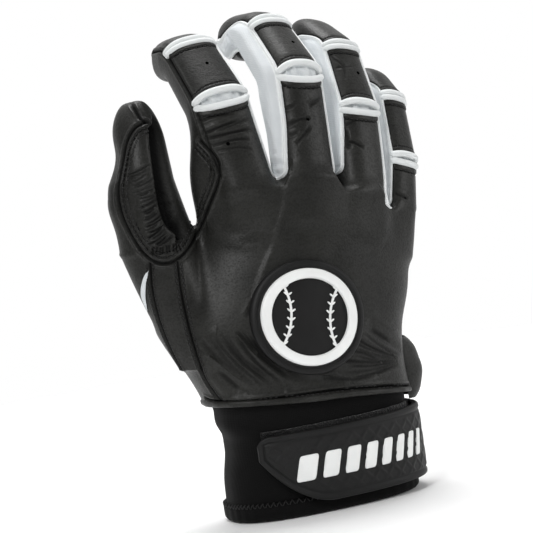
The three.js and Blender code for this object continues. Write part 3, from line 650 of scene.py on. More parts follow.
# Gathers on the finger's side of the web panel and along its lower end
for share in np.linspace(0, 1, 11):
    left = scattered((162, 188), (13, 42), share, 0.7)
    creases.append(([left, left + (9 - 3 * share, 9)], 0.7, 0.5 + 0.3 * share))
for share in np.linspace(0, 1, 9):
    top = scattered((154, 246), (26, -4), share, 0.6)
    creases.append(([top, top + ((share - 0.5) * 2, 10)], 0.7, 0.55))
# Pulled folds above the hem on the thumb's side, and a fan of them above the gusset
for share in np.linspace(0, 1, 9):
    top = scattered((202, 337), (46, -4), share, 2)
    low = top + (50 - 8 * share, 50 - 5 * share) + random.normal(0, 3, 2)
    middle = (top + low) / 2 + (-2, 3)
    creases.append(([top, middle, low], random.uniform(0.8, 1.3), random.uniform(0.25, 0.5)))
for share in np.linspace(0, 1, 9):
    fan = math.radians(158 + 62 * share)
    right = scattered((406, 361), (9 * math.cos(fan), 9 * math.sin(fan)), 1, 1)
    left = right + random.uniform(40, 70) * np.array([math.cos(fan), 0.75 * math.sin(fan)])
    middle = (left + right) / 2 + (0, 2)
    creases.append(([left, middle, right], random.uniform(0.8, 1.2), random.uniform(0.25, 0.45)))
# The hollow down the web panel, where it folds between thumb and finger: steep on the thumb's side
VALLEY = [(152, 128), (154, 150), (158, 180), (162, 205), (168, 222), (176, 230)]
VALLEY_STEEP, VALLEY_SLACK, VALLEY_DEPTH, VALLEY_REACH = 1.4, 5.6, 3.0, 14
# Swellings of the thumb's outer side: height on the sheet, half length and amount
THUMB_SWELL, THUMB_OUTER = ((208, 20, 1.9), (158, 24, -3.0)), 136
# Lines of the palm, as share of height and angle round the hand
PALM_LINES = [
    [(0.95, 236), (0.86, 214), (0.7, 198), (0.5, 192), (0.3, 197)],
    [(0.9, 126), (0.86, 150), (0.89, 175), (0.97, 196)],
    [(0.9, 232), (0.81, 202), (0.73, 176), (0.66, 150)],
    [(0.16, 160), (0.13, 185), (0.17, 215)],
    [(0.6, 222), (0.48, 212), (0.34, 212)],
    [(0.55, 140), (0.46, 152), (0.36, 150)],
]
# Near seams and creases the skin is divided more finely, so that it can turn in there
FINE_REACHES, FINE_EDGE = (4.2, 2.0), 0.2
# Which of the seam fields are fourchettes, which are bands, and both
STRIPS, BANDS, SEAMS = slice(0, 3), slice(3, 11), slice(0, 11)


def hand_point(up, angle, lift):
    """A place on the hand's skin from its share of height and angle, lifted off it."""
    low = hem_height(angle)
    across = signed_power(np.sin(np.radians(angle)), 2 / HAND_ROUNDNESS)
    back = signed_power(np.cos(np.radians(angle)), 2 / HAND_ROUNDNESS)
    high = knuckle_line(HAND[-1, 0] + HAND[-1, 1] * across)
    centre, width, depth = hand_section(np.atleast_1d(up)).T
    x = centre + across * (width + lift)
    y = -back * (depth + lift) + up * ARCH_RISE * ((x - ARCH_CENTRE) / ARCH_REACH) ** 2
    return np.stack([x, y + HAND_SHIFT_Y * np.asarray(up) ** 2, low + (high - low) * up], -1)


def nearest_on(lines, points, limit):
    """Distance from points to the nearest of some lines, up to a limit, and the number of that place."""
    tree = KDTree(sum(len(line) for line in lines))
    for number, place in enumerate(place for line in lines for place in line):
        tree.insert(place, number)
    tree.balance()
    low = np.min([np.min(line, axis=0) for line in lines], axis=0) - limit
    high = np.max([np.max(line, axis=0) for line in lines], axis=0) + limit
    distance, number = np.full(len(points), FAR), np.zeros(len(points), int)
    for k in np.flatnonzero(((points > low) & (points < high)).all(1)):
        _, number[k], distance[k] = tree.find(points[k])
    return distance, number


def normals_of(points, triangles):
    a, b, c = (points[triangles[:, k]] for k in range(3))
    face = np.cross(b - a, c - a)
    total = np.zeros_like(points)
    for k in range(3):
        for axis in range(3):
            total[:, axis] += np.bincount(triangles[:, k], face[:, axis], len(points))
    return total / np.maximum(np.linalg.norm(total, axis=1), 1e-12)[:, None]


palm_lines = []
for line in PALM_LINES:
    run = drawn([(HAND_HEIGHT * up, angle) for up, angle in line], 0.8)
    palm_lines.append(hand_point(run[:, 0] / HAND_HEIGHT, run[:, 1], 0.0))
crease_lines = [cast(squares)[0] for squares, _, _ in creases]
fine_lines = seam_lines + [line for line in crease_lines if len(line) > 2] + stitch_rows + palm_lines
for reach in FINE_REACHES:
    seam_gap, _ = nearest_on(fine_lines, skin, reach)
    seam_gap = np.minimum(seam_gap, np.abs(fields[:, SEAMS]).min(1))
    skin, fields, net = split(
        skin, fields, net,
        lambda edges: (seam_gap[edges].min(1) < reach)
            & (np.linalg.norm(skin[edges[:, 0]] - skin[edges[:, 1]], axis=1) > FINE_EDGE * reach),
        lambda edges: np.full(len(edges), 0.5))

# Leather
# Soft black sheepskin, cut in panels and sewn inside out, so every seam lies in a groove. The back and
# the finger bases are one piece. It creases at the finger joints and folds above the wrist.

# How far the strip on one side of a finger swells toward its neighbour, and the part of the gap it may take
PUFF = {("index", 1): (0.8, 0.25), ("middle", -1): (3.6, 0.5), ("middle", 1): (0.1, 0.5),
        ("ring", -1): (0.8, 0.5), ("ring", 1): (0.1, 0.5), ("little", -1): (1.2, 0.5)}
PUFF_KEEP, PUFF_LEAST, PUFF_TIP_RUN = 0.4, -0.9, 16
# A crease's lips: their height as share of its depth, and their place and half width as shares of its own
CREASE_LIP, CREASE_LIP_AT, CREASE_LIP_HALF, CREASE_REACH = 0.45, 1.7, 0.7, 12
# Depths and heights of the other lines in the leather, mm, and the angles that bound a finger's front
PALM_LINE_DEPTH, PALM_LINE_BESIDE, PALM_FROM, PALM_TO = 0.75, 2.2, 118, 140
SEAM_DEPTH, SEAM_LIP, ROW_DEPTH, EDGE_DEPTH = 0.9, 0.4, 0.5, 0.45
ROLL_HEIGHT, ROLL_HOLLOW, PUCKER, PUCKER_RUN = 0.7, 0.3, 0.35, 14
LAP_HEIGHT, BAND_SINK, GATHER, GATHER_FINE = 0.4, 1.3, 0.3, 0.15
# Painted shade in the hollows, from 0 to 1, the depth at which a crease's is darkest, and painted light on
# gathers
CREASE_PAINTED_SHADE, CREASE_DARK_DEPTH, VALLEY_PAINTED_SHADE, VALLEY_DARK_SPREAD = 0.9, 0.6, 0.97, 1.5
PALM_PAINTED_SHADE, EDGE_PAINTED_SHADE, GATHER_PAINTED_LIGHT = 0.7, 0.8, 0.35


def ridge(distance, width):
    return np.exp(-(distance / width) ** 2)


def crease(lines):
    """Height of drawn creases over the skin: sunk, with a lip on both sides, and run out at both ends."""
    paths, depth, width = [], [], []
    for squares, half, sink in lines:
        path, _ = cast(squares)
        if len(path) > 2:
            paths.append(path)
            run = np.linspace(0, 1, len(path))
            depth.append(sink * np.minimum(1, 5 * np.minimum(run, 1 - run)) ** 0.7)
            width.append(np.full(len(path), half))
    depth, width = np.concatenate(depth), np.concatenate(width)
    gap, number = nearest_on(paths, skin, CREASE_REACH)
    t = gap / width[number]
    return depth[number] * (CREASE_LIP * ridge(t - CREASE_LIP_AT, CREASE_LIP_HALF) - ridge(t, 1.0))


normals = normals_of(skin, net)
nearest, finger_distance, along, around = finger_places(skin)
thumb_distance, thumb_along, _ = measure(skin, digits["thumb"])
on_thumb = (thumb_distance < finger_distance) & (thumb_distance < 4)

# Drawn creases and folds, the valley of the web panel and the thumb's swellings, on the side that is seen
facing = ease((normals @ EYE_BACK), 0.0, 0.3)
height = crease(creases) * facing
# Painted shade: the leather darkens in the creases, the more the deeper they sink
shade = np.clip(-height / CREASE_DARK_DEPTH, 0, 1) * CREASE_PAINTED_SHADE
height = (height / np.maximum(facing, 0.01) + crease(FOLDS)) * facing
valley_path, _ = cast(VALLEY)
valley_gap, number = nearest_on([valley_path], skin, VALLEY_REACH)
side = (skin - valley_path[number]) @ EYE_RIGHT
valley = ridge(valley_gap, np.where(side < 0, VALLEY_STEEP, VALLEY_SLACK))
valley = facing * np.where(valley_gap < VALLEY_REACH, valley, 0)
height -= VALLEY_DEPTH * valley
# Painted shade down the valley of the web panel, nearly black at its floor
shade = np.maximum(shade, VALLEY_PAINTED_SHADE * np.minimum(1, VALLEY_DARK_SPREAD * valley))
sheet = on_sheet(skin)
outer = np.where(sheet[:, 0] < THUMB_OUTER, ease(-(normals @ EYE_RIGHT), 0.3, 0.9), 0)
for level, half, amount in THUMB_SWELL:
    height += outer * amount * ridge(sheet[:, 1] - level, half)

# Lines of the palm and of the finger fronts, beside each bend
palm_gap, _ = nearest_on(palm_lines, skin, 6)
palm_crease = ridge(palm_gap, 1.0)
for k, name in enumerate(finger_names):
    mine = (nearest == k) & ~on_thumb & (finger_distance < 1.5)
    for stage in stages_of(name, "bend"):
        end = stage["start"] + 2 * stage["depths"][0] * stage["size"]
        for place in (stage["start"] - PALM_LINE_BESIDE, end + PALM_LINE_BESIDE):
            line = ridge(along - place + 0.5 * np.sin(np.radians(around) * 5), 0.8)
            line = np.where(mine, line * ease(np.abs(around), PALM_FROM, PALM_TO), 0)
            palm_crease = np.maximum(palm_crease, line)
height -= PALM_LINE_DEPTH * palm_crease
# Painted shade along the lines of the palm and of the finger fronts
shade = np.maximum(shade, PALM_PAINTED_SHADE * palm_crease)

# Grooves of the sewn seams, and stitch rows that sink under each stitch
seam_gap, _ = nearest_on(seam_lines, skin, 4)
seam_line = ridge(seam_gap, 0.6)
height -= SEAM_DEPTH * seam_line - SEAM_LIP * ridge(seam_gap - 1.5, 0.7)
row_gap, number = nearest_on(stitch_rows, skin, 3)
row_line = ridge(row_gap, 0.42)
phase = np.concatenate([ROW_STEP * np.arange(len(row)) % PITCH / PITCH for row in stitch_rows])[number]
dash = 1 - ease(np.abs(phase - 0.5), 0.3, 0.42)
height -= ROW_DEPTH * row_line * (0.25 + 0.75 * dash)
# Painted shade in the seam grooves, and in dashes along the stitch rows under each stitch
shade = np.maximum(shade, np.maximum(seam_line, row_line * (0.3 + 0.7 * dash)))

# Fourchettes: a rolled edge, a swelling toward the next finger and puckers at the hand
strip, bands = fields[:, STRIPS].min(1), fields[:, BANDS].min(1)
edge_gap = np.minimum(np.abs(strip), np.abs(bands))
roll = ROLL_HEIGHT * ridge(strip + 0.9, 0.6) - ROLL_HOLLOW * ridge(strip + 2.5, 0.8)
height += np.where(strip < 0, roll, 0)
for (name, side), (puff, part) in PUFF.items():
    mine = (strip < 0) & (nearest == finger_names.index(name)) & (side * around > 0)
    neighbour = finger_names[finger_names.index(name) + side]
    room = part * measure(skin[mine], digits[neighbour])[0] - PUFF_KEEP
    tip = tube_start(name, 3)
    taper = 1 - 0.7 * ease(along[mine], tip, tip + PUFF_TIP_RUN)
    height[mine] += np.clip(room, PUFF_LEAST, puff) * taper * ease(-strip[mine], 1.0, 5.0)
height -= EDGE_DEPTH * ridge(edge_gap, 0.45)

# Bands: the leather laps up to them, and the elastic between their ribs is gathered and sunk
back_place = np.choose(nearest, [across_back(name, around) for name in finger_names])
lap = LAP_HEIGHT * ease(bands, 0.4, 1.4) * (1 - ease(bands, 3.0, 3.7))
height += np.where((bands > 0) & (np.abs(back_place) < 1), lap, 0)
turn = np.radians(around)
gather = GATHER * np.sin(turn * 15) + GATHER_FINE * np.sin(turn * 31 + along)
height += np.where(bands < 0, ease(-bands, 0.5, 1.6) * (gather - BAND_SINK), 0)
pucker = PUCKER * np.sin(1.15 * along + 0.06 * around) * ease(-strip, 1.0, 3.0)
height += np.where((strip < 0) & (along < PUCKER_RUN), pucker, 0)
# Painted shade along the leather's edges at the fourchettes and bands; this is what the leather pieces
# carry
leather_painted_shade = np.maximum(shade, EDGE_PAINTED_SHADE * ridge(edge_gap, 0.7))
# Painted light on the elastic: whiter along the fourchettes' rolled rims and on the crests of the bands'
# gathers
elastic_painted_light = np.where(strip < 0, 1 - ease(-strip, 1.7, 2.4), GATHER_PAINTED_LIGHT * ease(gather, -0.4, 0.4))
skin = skin + normals * height[:, None]
normals = normals_of(skin, net)
skin_tree = BVHTree.FromPolygons(skin.tolist(), net.tolist())
white = (fields[net][:, :, SEAMS].mean(1) < 0).any(1)

# The glove bends at its joints; each run of skin between two of them is a piece of its own, a zone
DIGIT_PARTS = {name: ("base", "mid", "tip") for name in finger_names} | {"thumb": ("base", "tip")}
# Where a finger's zones start, mm along it and then shares of its first two lengths, and the thumb's in mm
FINGER_ZONE_START, BASE_SHARE, MID_SHARE = 2, 0.75, 0.5
THUMB_ZONES = {"thumb_base": 3, "thumb_tip": 14}
MM = 0.001
zone = np.full(len(net), "hand", dtype=object)
centre_along, centre_thumb = along[net].mean(1), thumb_along[net].mean(1)
owner = np.median(nearest[net], axis=1).astype(int)
thumb_side = on_thumb[net].mean(1) > 0.5
for k, name in enumerate(finger_names):
    starts = (FINGER_ZONE_START, tube_start(name, 1) + BASE_SHARE * FINGERS[name]["lengths"][0],
              tube_start(name, 2) + MID_SHARE * FINGERS[name]["lengths"][1])
    for part, start in zip(DIGIT_PARTS[name], starts):
        zone[(owner == k) & ~thumb_side & (centre_along >= start)] = f"{name}_{part}"
for name, start in THUMB_ZONES.items():
    zone[thumb_side & (centre_thumb >= start)] = name


def follow(obj, name):
    """Puts a piece of skin, or what is sewn to it, under the hand's body when it belongs to the hand, and
    otherwise bakes its place into its points.
    """
    if name == "hand":
        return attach(obj, "hand")
    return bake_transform(obj)


def zone_nodes(name, white_nodes):
    """The CAD nodes that a zone's leather or white elastic stands for."""
    if name == "hand" and white_nodes:
        return ["index_middle_fourchette"]
    if name == "hand":
        return ["back_panel", "palm_panel", "thumb_side_strip", "thumb_root"]
    owner_name, part = name.rsplit("_", 1)
    if owner_name == "thumb":
        return {"base": ["thumb_base_outer", "web_panel"],
                "tip": ["thumb_knuckle", "thumb_tip_outer", "thumb_tip_inner"]}[part]
    if white_nodes:
        pairs = [(left, right) for left, right, *_ in CROTCHES if owner_name in (left, right)]
        joint_bands = {"base": [], "mid": [owner_name + "_lower_band"], "tip": [owner_name + "_upper_band"]}
        return [f"{left}_{right}_fourchette" for left, right in pairs] + joint_bands[part]
    faces = [f"{owner_name}_{part}_back", f"{owner_name}_{part}_front"]
    return faces + ([owner_name + "_knuckle_back"] if part == "base" else [])


def mesh_object(name, points, faces, material, normals=None, shade=None):
    """A smooth mesh from points in mm and faces with the same number of corners."""
    faces = np.asarray(faces)
    mesh = bpy.data.meshes.new(name)
    mesh.vertices.add(len(points))
    mesh.vertices.foreach_set("co", (np.asarray(points) * MM).astype(np.float32).ravel())
    mesh.loops.add(faces.size)
    mesh.loops.foreach_set("vertex_index", faces.astype(np.int32).ravel())
    mesh.polygons.add(len(faces))
    mesh.polygons.foreach_set("loop_start", np.arange(0, faces.size, faces.shape[1], dtype=np.int32))
    mesh.update(calc_edges=True)
    mesh.polygons.foreach_set("use_smooth", np.ones(len(faces), bool))
    if normals is not None:
        mesh.normals_split_custom_set_from_vertices(normals.tolist())
    # Painted light of a skin piece goes into its Shade attribute: shade on leather, whiter rims and crests
    # on elastic
    if shade is not None:
        attribute = mesh.attributes.new("Shade", "FLOAT", "POINT")
        attribute.data.foreach_set("value", np.asarray(shade, np.float32))
    mesh.materials.append(material)
    obj = bpy.data.objects.new(name, mesh)
    bpy.context.scene.collection.objects.link(obj)
    return obj


def feed(tree, node, *ordered, **named):
    """Sets a node's inputs, in order or by name: another node's socket is linked, all else is constant."""
    inputs = [(node.inputs[number], value) for number, value in enumerate(ordered)]
    inputs += [(node.inputs[label.replace("_", " ")], value) for label, value in named.items()]
    for socket, value in inputs:
        if isinstance(value, bpy.types.NodeSocket):
            tree.links.new(value, socket)
        else:
            socket.default_value = value


def add(tree, kind, *ordered, **named):
    """A shader node with its settings and inputs."""
    node = tree.nodes.new(kind)
    for label in [label for label in named if label in node.bl_rna.properties]:
        setattr(node, label, named.pop(label))
    feed(tree, node, *ordered, **named)
    return node


def node_group(name, colours, values, outputs):
    """An empty shader group with named sockets, its inputs' values and the place on the object."""
    group = bpy.data.node_groups.new(name, "ShaderNodeTree")
    for kind, inputs in (("NodeSocketColor", colours), ("NodeSocketFloat", values)):
        for label, value in inputs.items():
            socket = group.interface.new_socket(label, in_out="INPUT", socket_type=kind)
            socket.default_value = value
    for label in outputs:
        kind = "NodeSocketColor" if label == "Color" else "NodeSocketFloat"
        group.interface.new_socket(label, in_out="OUTPUT", socket_type=kind)
    given, made = group.nodes.new("NodeGroupInput"), group.nodes.new("NodeGroupOutput")
    return group, given.outputs, made, add(group, "ShaderNodeTexCoord").outputs["Object"]


# Fine pebbled grain with longer pulled wrinkles, shared by all the leather. Its Shade input is painted
# shade: in hollows it darkens the colour toward black, dulls it and takes away its coat
grain, given, made, place = node_group(
    "Leather grain", dict(Dark=(0.0095, 0.0095, 0.0084, 1), Light=(0.019, 0.019, 0.017, 1)),
    dict(Shade=0.0, Shine=0.34), ("Color", "Height", "Roughness", "Gloss"))
pebble = add(grain, "ShaderNodeTexVoronoi", feature="SMOOTH_F1", Vector=place, Scale=1300.0)
pulled = add(grain, "ShaderNodeMapping", Vector=place, Scale=(1.0, 1.0, 2.6), Rotation=(0.0, 0.6, 0.3))
wrinkle = add(grain, "ShaderNodeTexNoise", Vector=pulled.outputs[0], Scale=330.0, Detail=3.0, Roughness=0.5)
broad = add(grain, "ShaderNodeTexNoise", Vector=place, Scale=45.0, Detail=3.0)
relief = add(grain, "ShaderNodeMath", pebble.outputs["Distance"], 1.1, wrinkle.outputs[0],
             operation="MULTIPLY_ADD")
tone = add(grain, "ShaderNodeMapRange", Value=broad.outputs[0], From_Min=0.35, From_Max=0.75)
mixed = add(grain, "ShaderNodeMix", data_type="RGBA", Factor=tone.outputs[0], A=given["Dark"],
            B=given["Light"])
# Painted shade: the colour goes toward black where Shade is high
hollow = add(grain, "ShaderNodeMix", data_type="RGBA", Factor=given["Shade"], A=mixed.outputs["Result"],
             B=(0.001, 0.001, 0.001, 1))
open_part = add(grain, "ShaderNodeMapRange", Value=given["Shade"], To_Min=1.0, To_Max=0.0)
crown = add(grain, "ShaderNodeMapRange", Value=relief.outputs[0], From_Min=0.55, From_Max=1.15, To_Min=0.4,
            To_Max=1.5)
crown_shine = add(grain, "ShaderNodeMath", crown.outputs[0], given["Shine"], operation="MULTIPLY")
gloss = add(grain, "ShaderNodeMath", open_part.outputs[0], crown_shine.outputs[0], operation="MULTIPLY")
matt = add(grain, "ShaderNodeMapRange", Value=wrinkle.outputs[0], From_Min=0.3, From_Max=0.8, To_Min=0.42,
           To_Max=0.58)
dull = add(grain, "ShaderNodeMix", Factor=given["Shade"], A=matt.outputs[0], B=1.0)
feed(grain, made, Color=hollow.outputs["Result"], Height=relief.outputs[0],
     Roughness=dull.outputs["Result"], Gloss=gloss.outputs[0])
COAT_ROUGHNESS = 0.42


def finish(name, group, depth, strength, specular=0.5, sheen=0.0, **inputs):
    """A material whose colour, relief, roughness and any gloss come from a group."""
    material = bpy.data.materials.new(name)
    material.use_nodes = True
    tree = material.node_tree
    shader = tree.nodes["Principled BSDF"]
    source = add(tree, "ShaderNodeGroup", node_tree=group)
    # Shade reads the painted light that skin pieces carry; pieces without it get none
    if "Shade" in source.inputs:
        inputs["Shade"] = add(tree, "ShaderNodeAttribute", attribute_name="Shade").outputs["Fac"]
    feed(tree, source, **inputs)
    bump = add(tree, "ShaderNodeBump", Strength=strength, Distance=depth, Height=source.outputs["Height"])
    feed(tree, shader, Base_Color=source.outputs["Color"], Roughness=source.outputs["Roughness"],
         Normal=bump.outputs["Normal"], Specular_IOR_Level=specular, Sheen_Weight=sheen)
    if "Gloss" in source.outputs:
        feed(tree, shader, Coat_Roughness=COAT_ROUGHNESS, Coat_Weight=source.outputs["Gloss"])
    return material


leather = finish("Black leather", grain, 0.00025, 0.5, specular=0.13, Shine=0.23)


def skin_pieces(chosen, label, material, is_white, painted_light):
    """One piece of skin for each zone, in place of the CAD parts it stands for."""
    for name in dict.fromkeys(zone):
        triangles = net[(zone == name) & chosen]
        if len(triangles) == 0:
            continue
        used, index = np.unique(triangles, return_inverse=True)
        faces = index.reshape(-1, 3)
        obj = mesh_object(f"{name}_{label}", skin[used], faces, material, normals[used], painted_light[used])
        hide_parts(*zone_nodes(name, is_white))
        follow(obj, name)


skin_pieces(~white, "leather", leather, False, leather_painted_shade)

# White elastic
# A stretch knit with a soft hand: strips between the fingers, rolled at their sewn edges, and gathered
# bands over the finger joints that open as the finger bends.

KNIT_WAVE = dict(Scale=420.0, Distortion=0.6)
knit, given, made, place = node_group(
    "Stretch knit", dict(Dark=(0.62, 0.65, 0.67, 1), Light=(0.8, 0.82, 0.82, 1)), dict(Shade=0.0),
    ("Color", "Height", "Roughness"))
rows = add(knit, "ShaderNodeTexWave", bands_direction="Z", Vector=place, **KNIT_WAVE)
columns = add(knit, "ShaderNodeTexWave", bands_direction="X", Vector=place, **KNIT_WAVE)
cross = add(knit, "ShaderNodeMath", rows.outputs["Fac"], columns.outputs["Fac"], operation="MULTIPLY")
cloud = add(knit, "ShaderNodeTexNoise", Vector=place, Scale=120.0, Detail=2.0)
tone = add(knit, "ShaderNodeMapRange", Value=cloud.outputs[0], From_Min=0.3, From_Max=0.7, To_Max=0.25)
# Shade is painted light here: it makes the knit whiter on raised rims and gather crests
whiter = add(knit, "ShaderNodeMath", tone.outputs[0], given["Shade"], operation="ADD", use_clamp=True)
mixed = add(knit, "ShaderNodeMix", data_type="RGBA", Factor=whiter.outputs[0], A=given["Dark"],
            B=given["Light"])
rough = add(knit, "ShaderNodeMapRange", Value=cloud.outputs[0], To_Min=0.75, To_Max=0.9)
feed(knit, made, Color=mixed.outputs["Result"], Height=cross.outputs[0], Roughness=rough.outputs[0])
elastic = finish("White elastic", knit, 0.0002, 0.35, specular=0.3, sheen=0.2)
skin_pieces(white, "elastic", elastic, True, elastic_painted_light)

# Piping
# Round white cords under stretch cloth, sewn along both edges of every finger band so that each band
# opens between two ribs. They stand proud of the leather and tuck into the side seams.

# How far a rib runs past the side seam, over how much of it the end tucks in (degrees), how deep (mm), and
# its lift off the skin and its thinnest girth (shares of its radius)
PIPING_PAST, PIPING_TUCK, PIPING_SINK, PIPING_LIFT, PIPING_THIN = 4, 7, 1.6, 0.1, 0.35


def circle(sides):
    return np.linspace(0, 2 * math.pi, sides, endpoint=False)


def unit(vectors):
    return vectors / np.linalg.norm(vectors, axis=1)[:, None]


def merged(parts):
    """Several meshes as one list of points and faces."""
    points, faces, count = [], [], 0
    for part_points, part_faces in parts:
        points.append(part_points)
        faces.append(np.asarray(part_faces) + count)
        count += len(part_points)
    return np.concatenate(points), np.concatenate(faces)


def ring_faces(rings, sides, closed=False):
    """Quads between rings of points; closed also joins the last ring to the first."""
    k = np.arange(rings if closed else rings - 1)[:, None] * sides
    s = np.arange(sides)[None, :]
    nxt = (s + 1) % sides
    return np.stack([k + s, k + nxt, k + sides + nxt, k + sides + s], -1).reshape(-1, 4) % (rings * sides)


def tube(path, up, radius, sides=10):
    """A cord along a path; up is the skin's normal, at each point or for all of them."""
    path = np.asarray(path)
    up = np.broadcast_to(up, path.shape)
    radius = np.broadcast_to(radius, len(path))
    ahead = unit(np.gradient(path, axis=0))
    side = unit(np.cross(ahead, up))
    top = np.cross(side, ahead)
    turn = circle(sides)
    rings = path[:, None] + radius[:, None, None] * (
        np.cos(turn)[None, :, None] * side[:, None] + np.sin(turn)[None, :, None] * top[:, None])
    return rings.reshape(-1, 3), ring_faces(len(path), sides)[:, ::-1]


piping = finish("White piping", knit, 0.00012, 0.3, specular=0.35, Dark=(0.74, 0.76, 0.76, 1),
                Light=(0.8, 0.82, 0.82, 1))
for name in finger_names:
    low, high = BACK_EDGES[name][0] - PIPING_PAST, BACK_EDGES[name][1] + PIPING_PAST
    angles = np.linspace(low, high, 61)
    ends = np.clip(np.minimum(angles - low, high - angles) / PIPING_TUCK, 0, 1)
    for number, radius in RIB.items():
        ribs = []
        for side in (-1, 1):
            half = [max(band_half(name, number, a), 0.95 * radius) for a in angles]
            places = [(name, band_middle(name, number) + side * h, a) for h, a in zip(half, angles)]
            path = np.array([finger_point(*place) for place in places])
            up = unit(np.array([finger_point(*place, 1.0) for place in places]) - path)
            path = path + up * (-PIPING_SINK * (1 - ends) ** 2 + PIPING_LIFT * radius)[:, None]
            ribs.append(tube(path, up, radius * between((PIPING_THIN, 1), np.sqrt(ends))))
        obj = mesh_object(f"{name}_{'lower' if number == 1 else 'upper'}_piping", *merged(ribs), piping)
        follow(obj, f"{name}_{'mid' if number == 1 else 'tip'}")

# Thread
# Black bonded thread in lockstitch, sunk a little in the leather: a row beside every rib, two rows round
# the thumb's web panel, rows beside the side strip's seams and along the hem.

# A stitch's rings: place along it, girth and lift
STITCH_RINGS = ((-0.5, 0.4, -0.35), (-0.36, 0.95, 0.0), (0, 1, 0.1), (0.36, 0.95, 0.0), (0.5, 0.4, -0.35))
STITCH_SIDES = 6
thread_parts = {}


def on_skin(points):
    """The nearest places on the finished skin, their smooth normals and their zones."""
    places, ups, names = [], [], []
    for point in points:
        place, _, face, _ = skin_tree.find_nearest(Vector(point))
        places.append(place)
        ups.append(normals[net[face]].mean(0))
        names.append(zone[face])
    return np.array(places), unit(np.array(ups)), names


def sew(path):
    """Lays stitches along a path on the skin."""
    run = run_of(path)
    marks = np.arange(0.5 * PITCH, run[-1], PITCH)
    if len(marks) < 2:
        return
    centre = places_at(path, run, marks)
    ahead = places_at(path, run, marks + 0.3) - centre
    centre, up, names = on_skin(centre)
    ahead -= up * (ahead * up).sum(1)[:, None]
    ahead /= np.maximum(np.linalg.norm(ahead, axis=1), 1e-6)[:, None]
    side = np.cross(ahead, up)
    turn = circle(STITCH_SIDES)[:, None]
    for c, a, s, u, name in zip(centre, ahead, side, up, names):
        rings = [c + a * (STITCH * t) + u * lift + THREAD * r * (np.cos(turn) * s + np.sin(turn) * u)
                 for t, r, lift in STITCH_RINGS]
        faces = ring_faces(len(STITCH_RINGS), STITCH_SIDES)[:, ::-1]
        thread_parts.setdefault(name, []).append((np.concatenate(rings), faces))


def plain(name, colour, **inputs):
    """A material of one colour; gives its shader and node tree too."""
    material = bpy.data.materials.new(name)
    material.use_nodes = True
    shader = material.node_tree.nodes["Principled BSDF"]
    feed(material.node_tree, shader, Base_Color=(*colour, 1), **inputs)
    return material, material.node_tree, shader


for row in stitch_rows:
    sew(row)
thread, tree, shader = plain("Black thread", (0.006, 0.006, 0.006), Roughness=0.6)
twist = add(tree, "ShaderNodeTexWave", Scale=1500.0)
ply = add(tree, "ShaderNodeBump", Strength=0.4, Distance=0.0001, Height=twist.outputs["Fac"])
feed(tree, shader, Normal=ply.outputs["Normal"])
for name, parts in thread_parts.items():
    obj = mesh_object(f"{name}_thread", *merged(parts), thread)
    follow(obj, name)

# Air holes
# Small round holes punched through the leather backs of the finger joints, so that the hand can breathe.
# They are cut before sewing, and only the dark of the inside is seen in them, drawn as a black disc on the
# leather: a painted shadow.

HOLES = [(207, 63), (293, 42), (358, 73), (228, 144), (308, 119), (406, 198)]
HOLE, HOLE_SIDES = 0.8, 16
# Rings of a hole: share of its radius and lift
HOLE_RINGS = ((1.0, 0.06), (0.6, 0.07), (0.02, 0.07))
# A black disc in each hole: painted shadow for the dark inside
shadow, tree, shader = plain("Painted hole shadow", (0.001, 0.001, 0.001), Specular_IOR_Level=0.0)
depths = add(tree, "ShaderNodeTexNoise", Scale=900.0)
dark = add(tree, "ShaderNodeMapRange", Value=depths.outputs[0], To_Min=0.9, To_Max=1.0)
feed(tree, shader, Roughness=dark.outputs[0])
for number, (across, down) in enumerate(HOLES):
    path, up, names = on_skin(cast([(across, down), (across + 0.01, down)])[0][:1])
    side = unit(np.cross(up, (0, 0, 1.0)))[0]
    over = np.cross(up[0], side)
    turn = circle(HOLE_SIDES)[:, None]
    rings = [path[0] + up[0] * lift + HOLE * r * (np.cos(turn) * side + np.sin(turn) * over)
             for r, lift in HOLE_RINGS]
    faces = ring_faces(len(HOLE_RINGS), HOLE_SIDES)
    obj = mesh_object(f"air_hole_{number + 1}", np.concatenate(rings), faces, shadow)
    follow(obj, names[0])

# Side accent
# A sliver of the white elastic, let in beside the thumb-side strip when its back seam is sewn. It is seen
# only where the seam opens into a narrow leaf.

SLIVER_LEFT = [(148.7, 270.5), (144.5, 276), (141.5, 286), (141.4, 296), (144.6, 305), (148.2, 312.5)]
SLIVER_RIGHT = [(148.7, 270.5), (147.4, 278), (146, 287), (145.8, 297), (147, 305.5), (148.2, 312.5)]
SLIVER_ROWS, SLIVER_COLUMNS, SLIVER_LIFT, SLIVER_SWELL = 40, 7, 0.25, 0.35


def sheet_faces(rows, columns):
    """Quads of a sheet of points, row by row."""
    k = np.arange(rows - 1)[:, None] * columns + np.arange(columns - 1)[None, :]
    return np.stack([k, k + 1, k + columns + 1, k + columns], -1).reshape(-1, 4)


sides = []
for line in (SLIVER_LEFT, SLIVER_RIGHT):
    path, _ = cast(line)
    sides.append(places_at(path, np.linspace(0, 1, len(path)), np.linspace(0, 1, SLIVER_ROWS)))
grid = np.stack([between(sides, t) for t in np.linspace(0, 1, SLIVER_COLUMNS)], 1)
places, up, _ = on_skin(grid.reshape(-1, 3))
over, down = (np.sin(np.linspace(0, math.pi, count)) for count in (SLIVER_COLUMNS, SLIVER_ROWS))
swell = SLIVER_LIFT + SLIVER_SWELL * over[None, :] * down[:, None]
faces = sheet_faces(SLIVER_ROWS, SLIVER_COLUMNS)
obj = mesh_object("side_accent_elastic", places + up * swell.reshape(-1, 1), faces, elastic)
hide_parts("side_accent")
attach(obj, "hand")

# Hem
# The lower edge of the leather is turned under and topstitched all round the wrist, which leaves a firm
# rounded edge that ripples a little between the stitches.

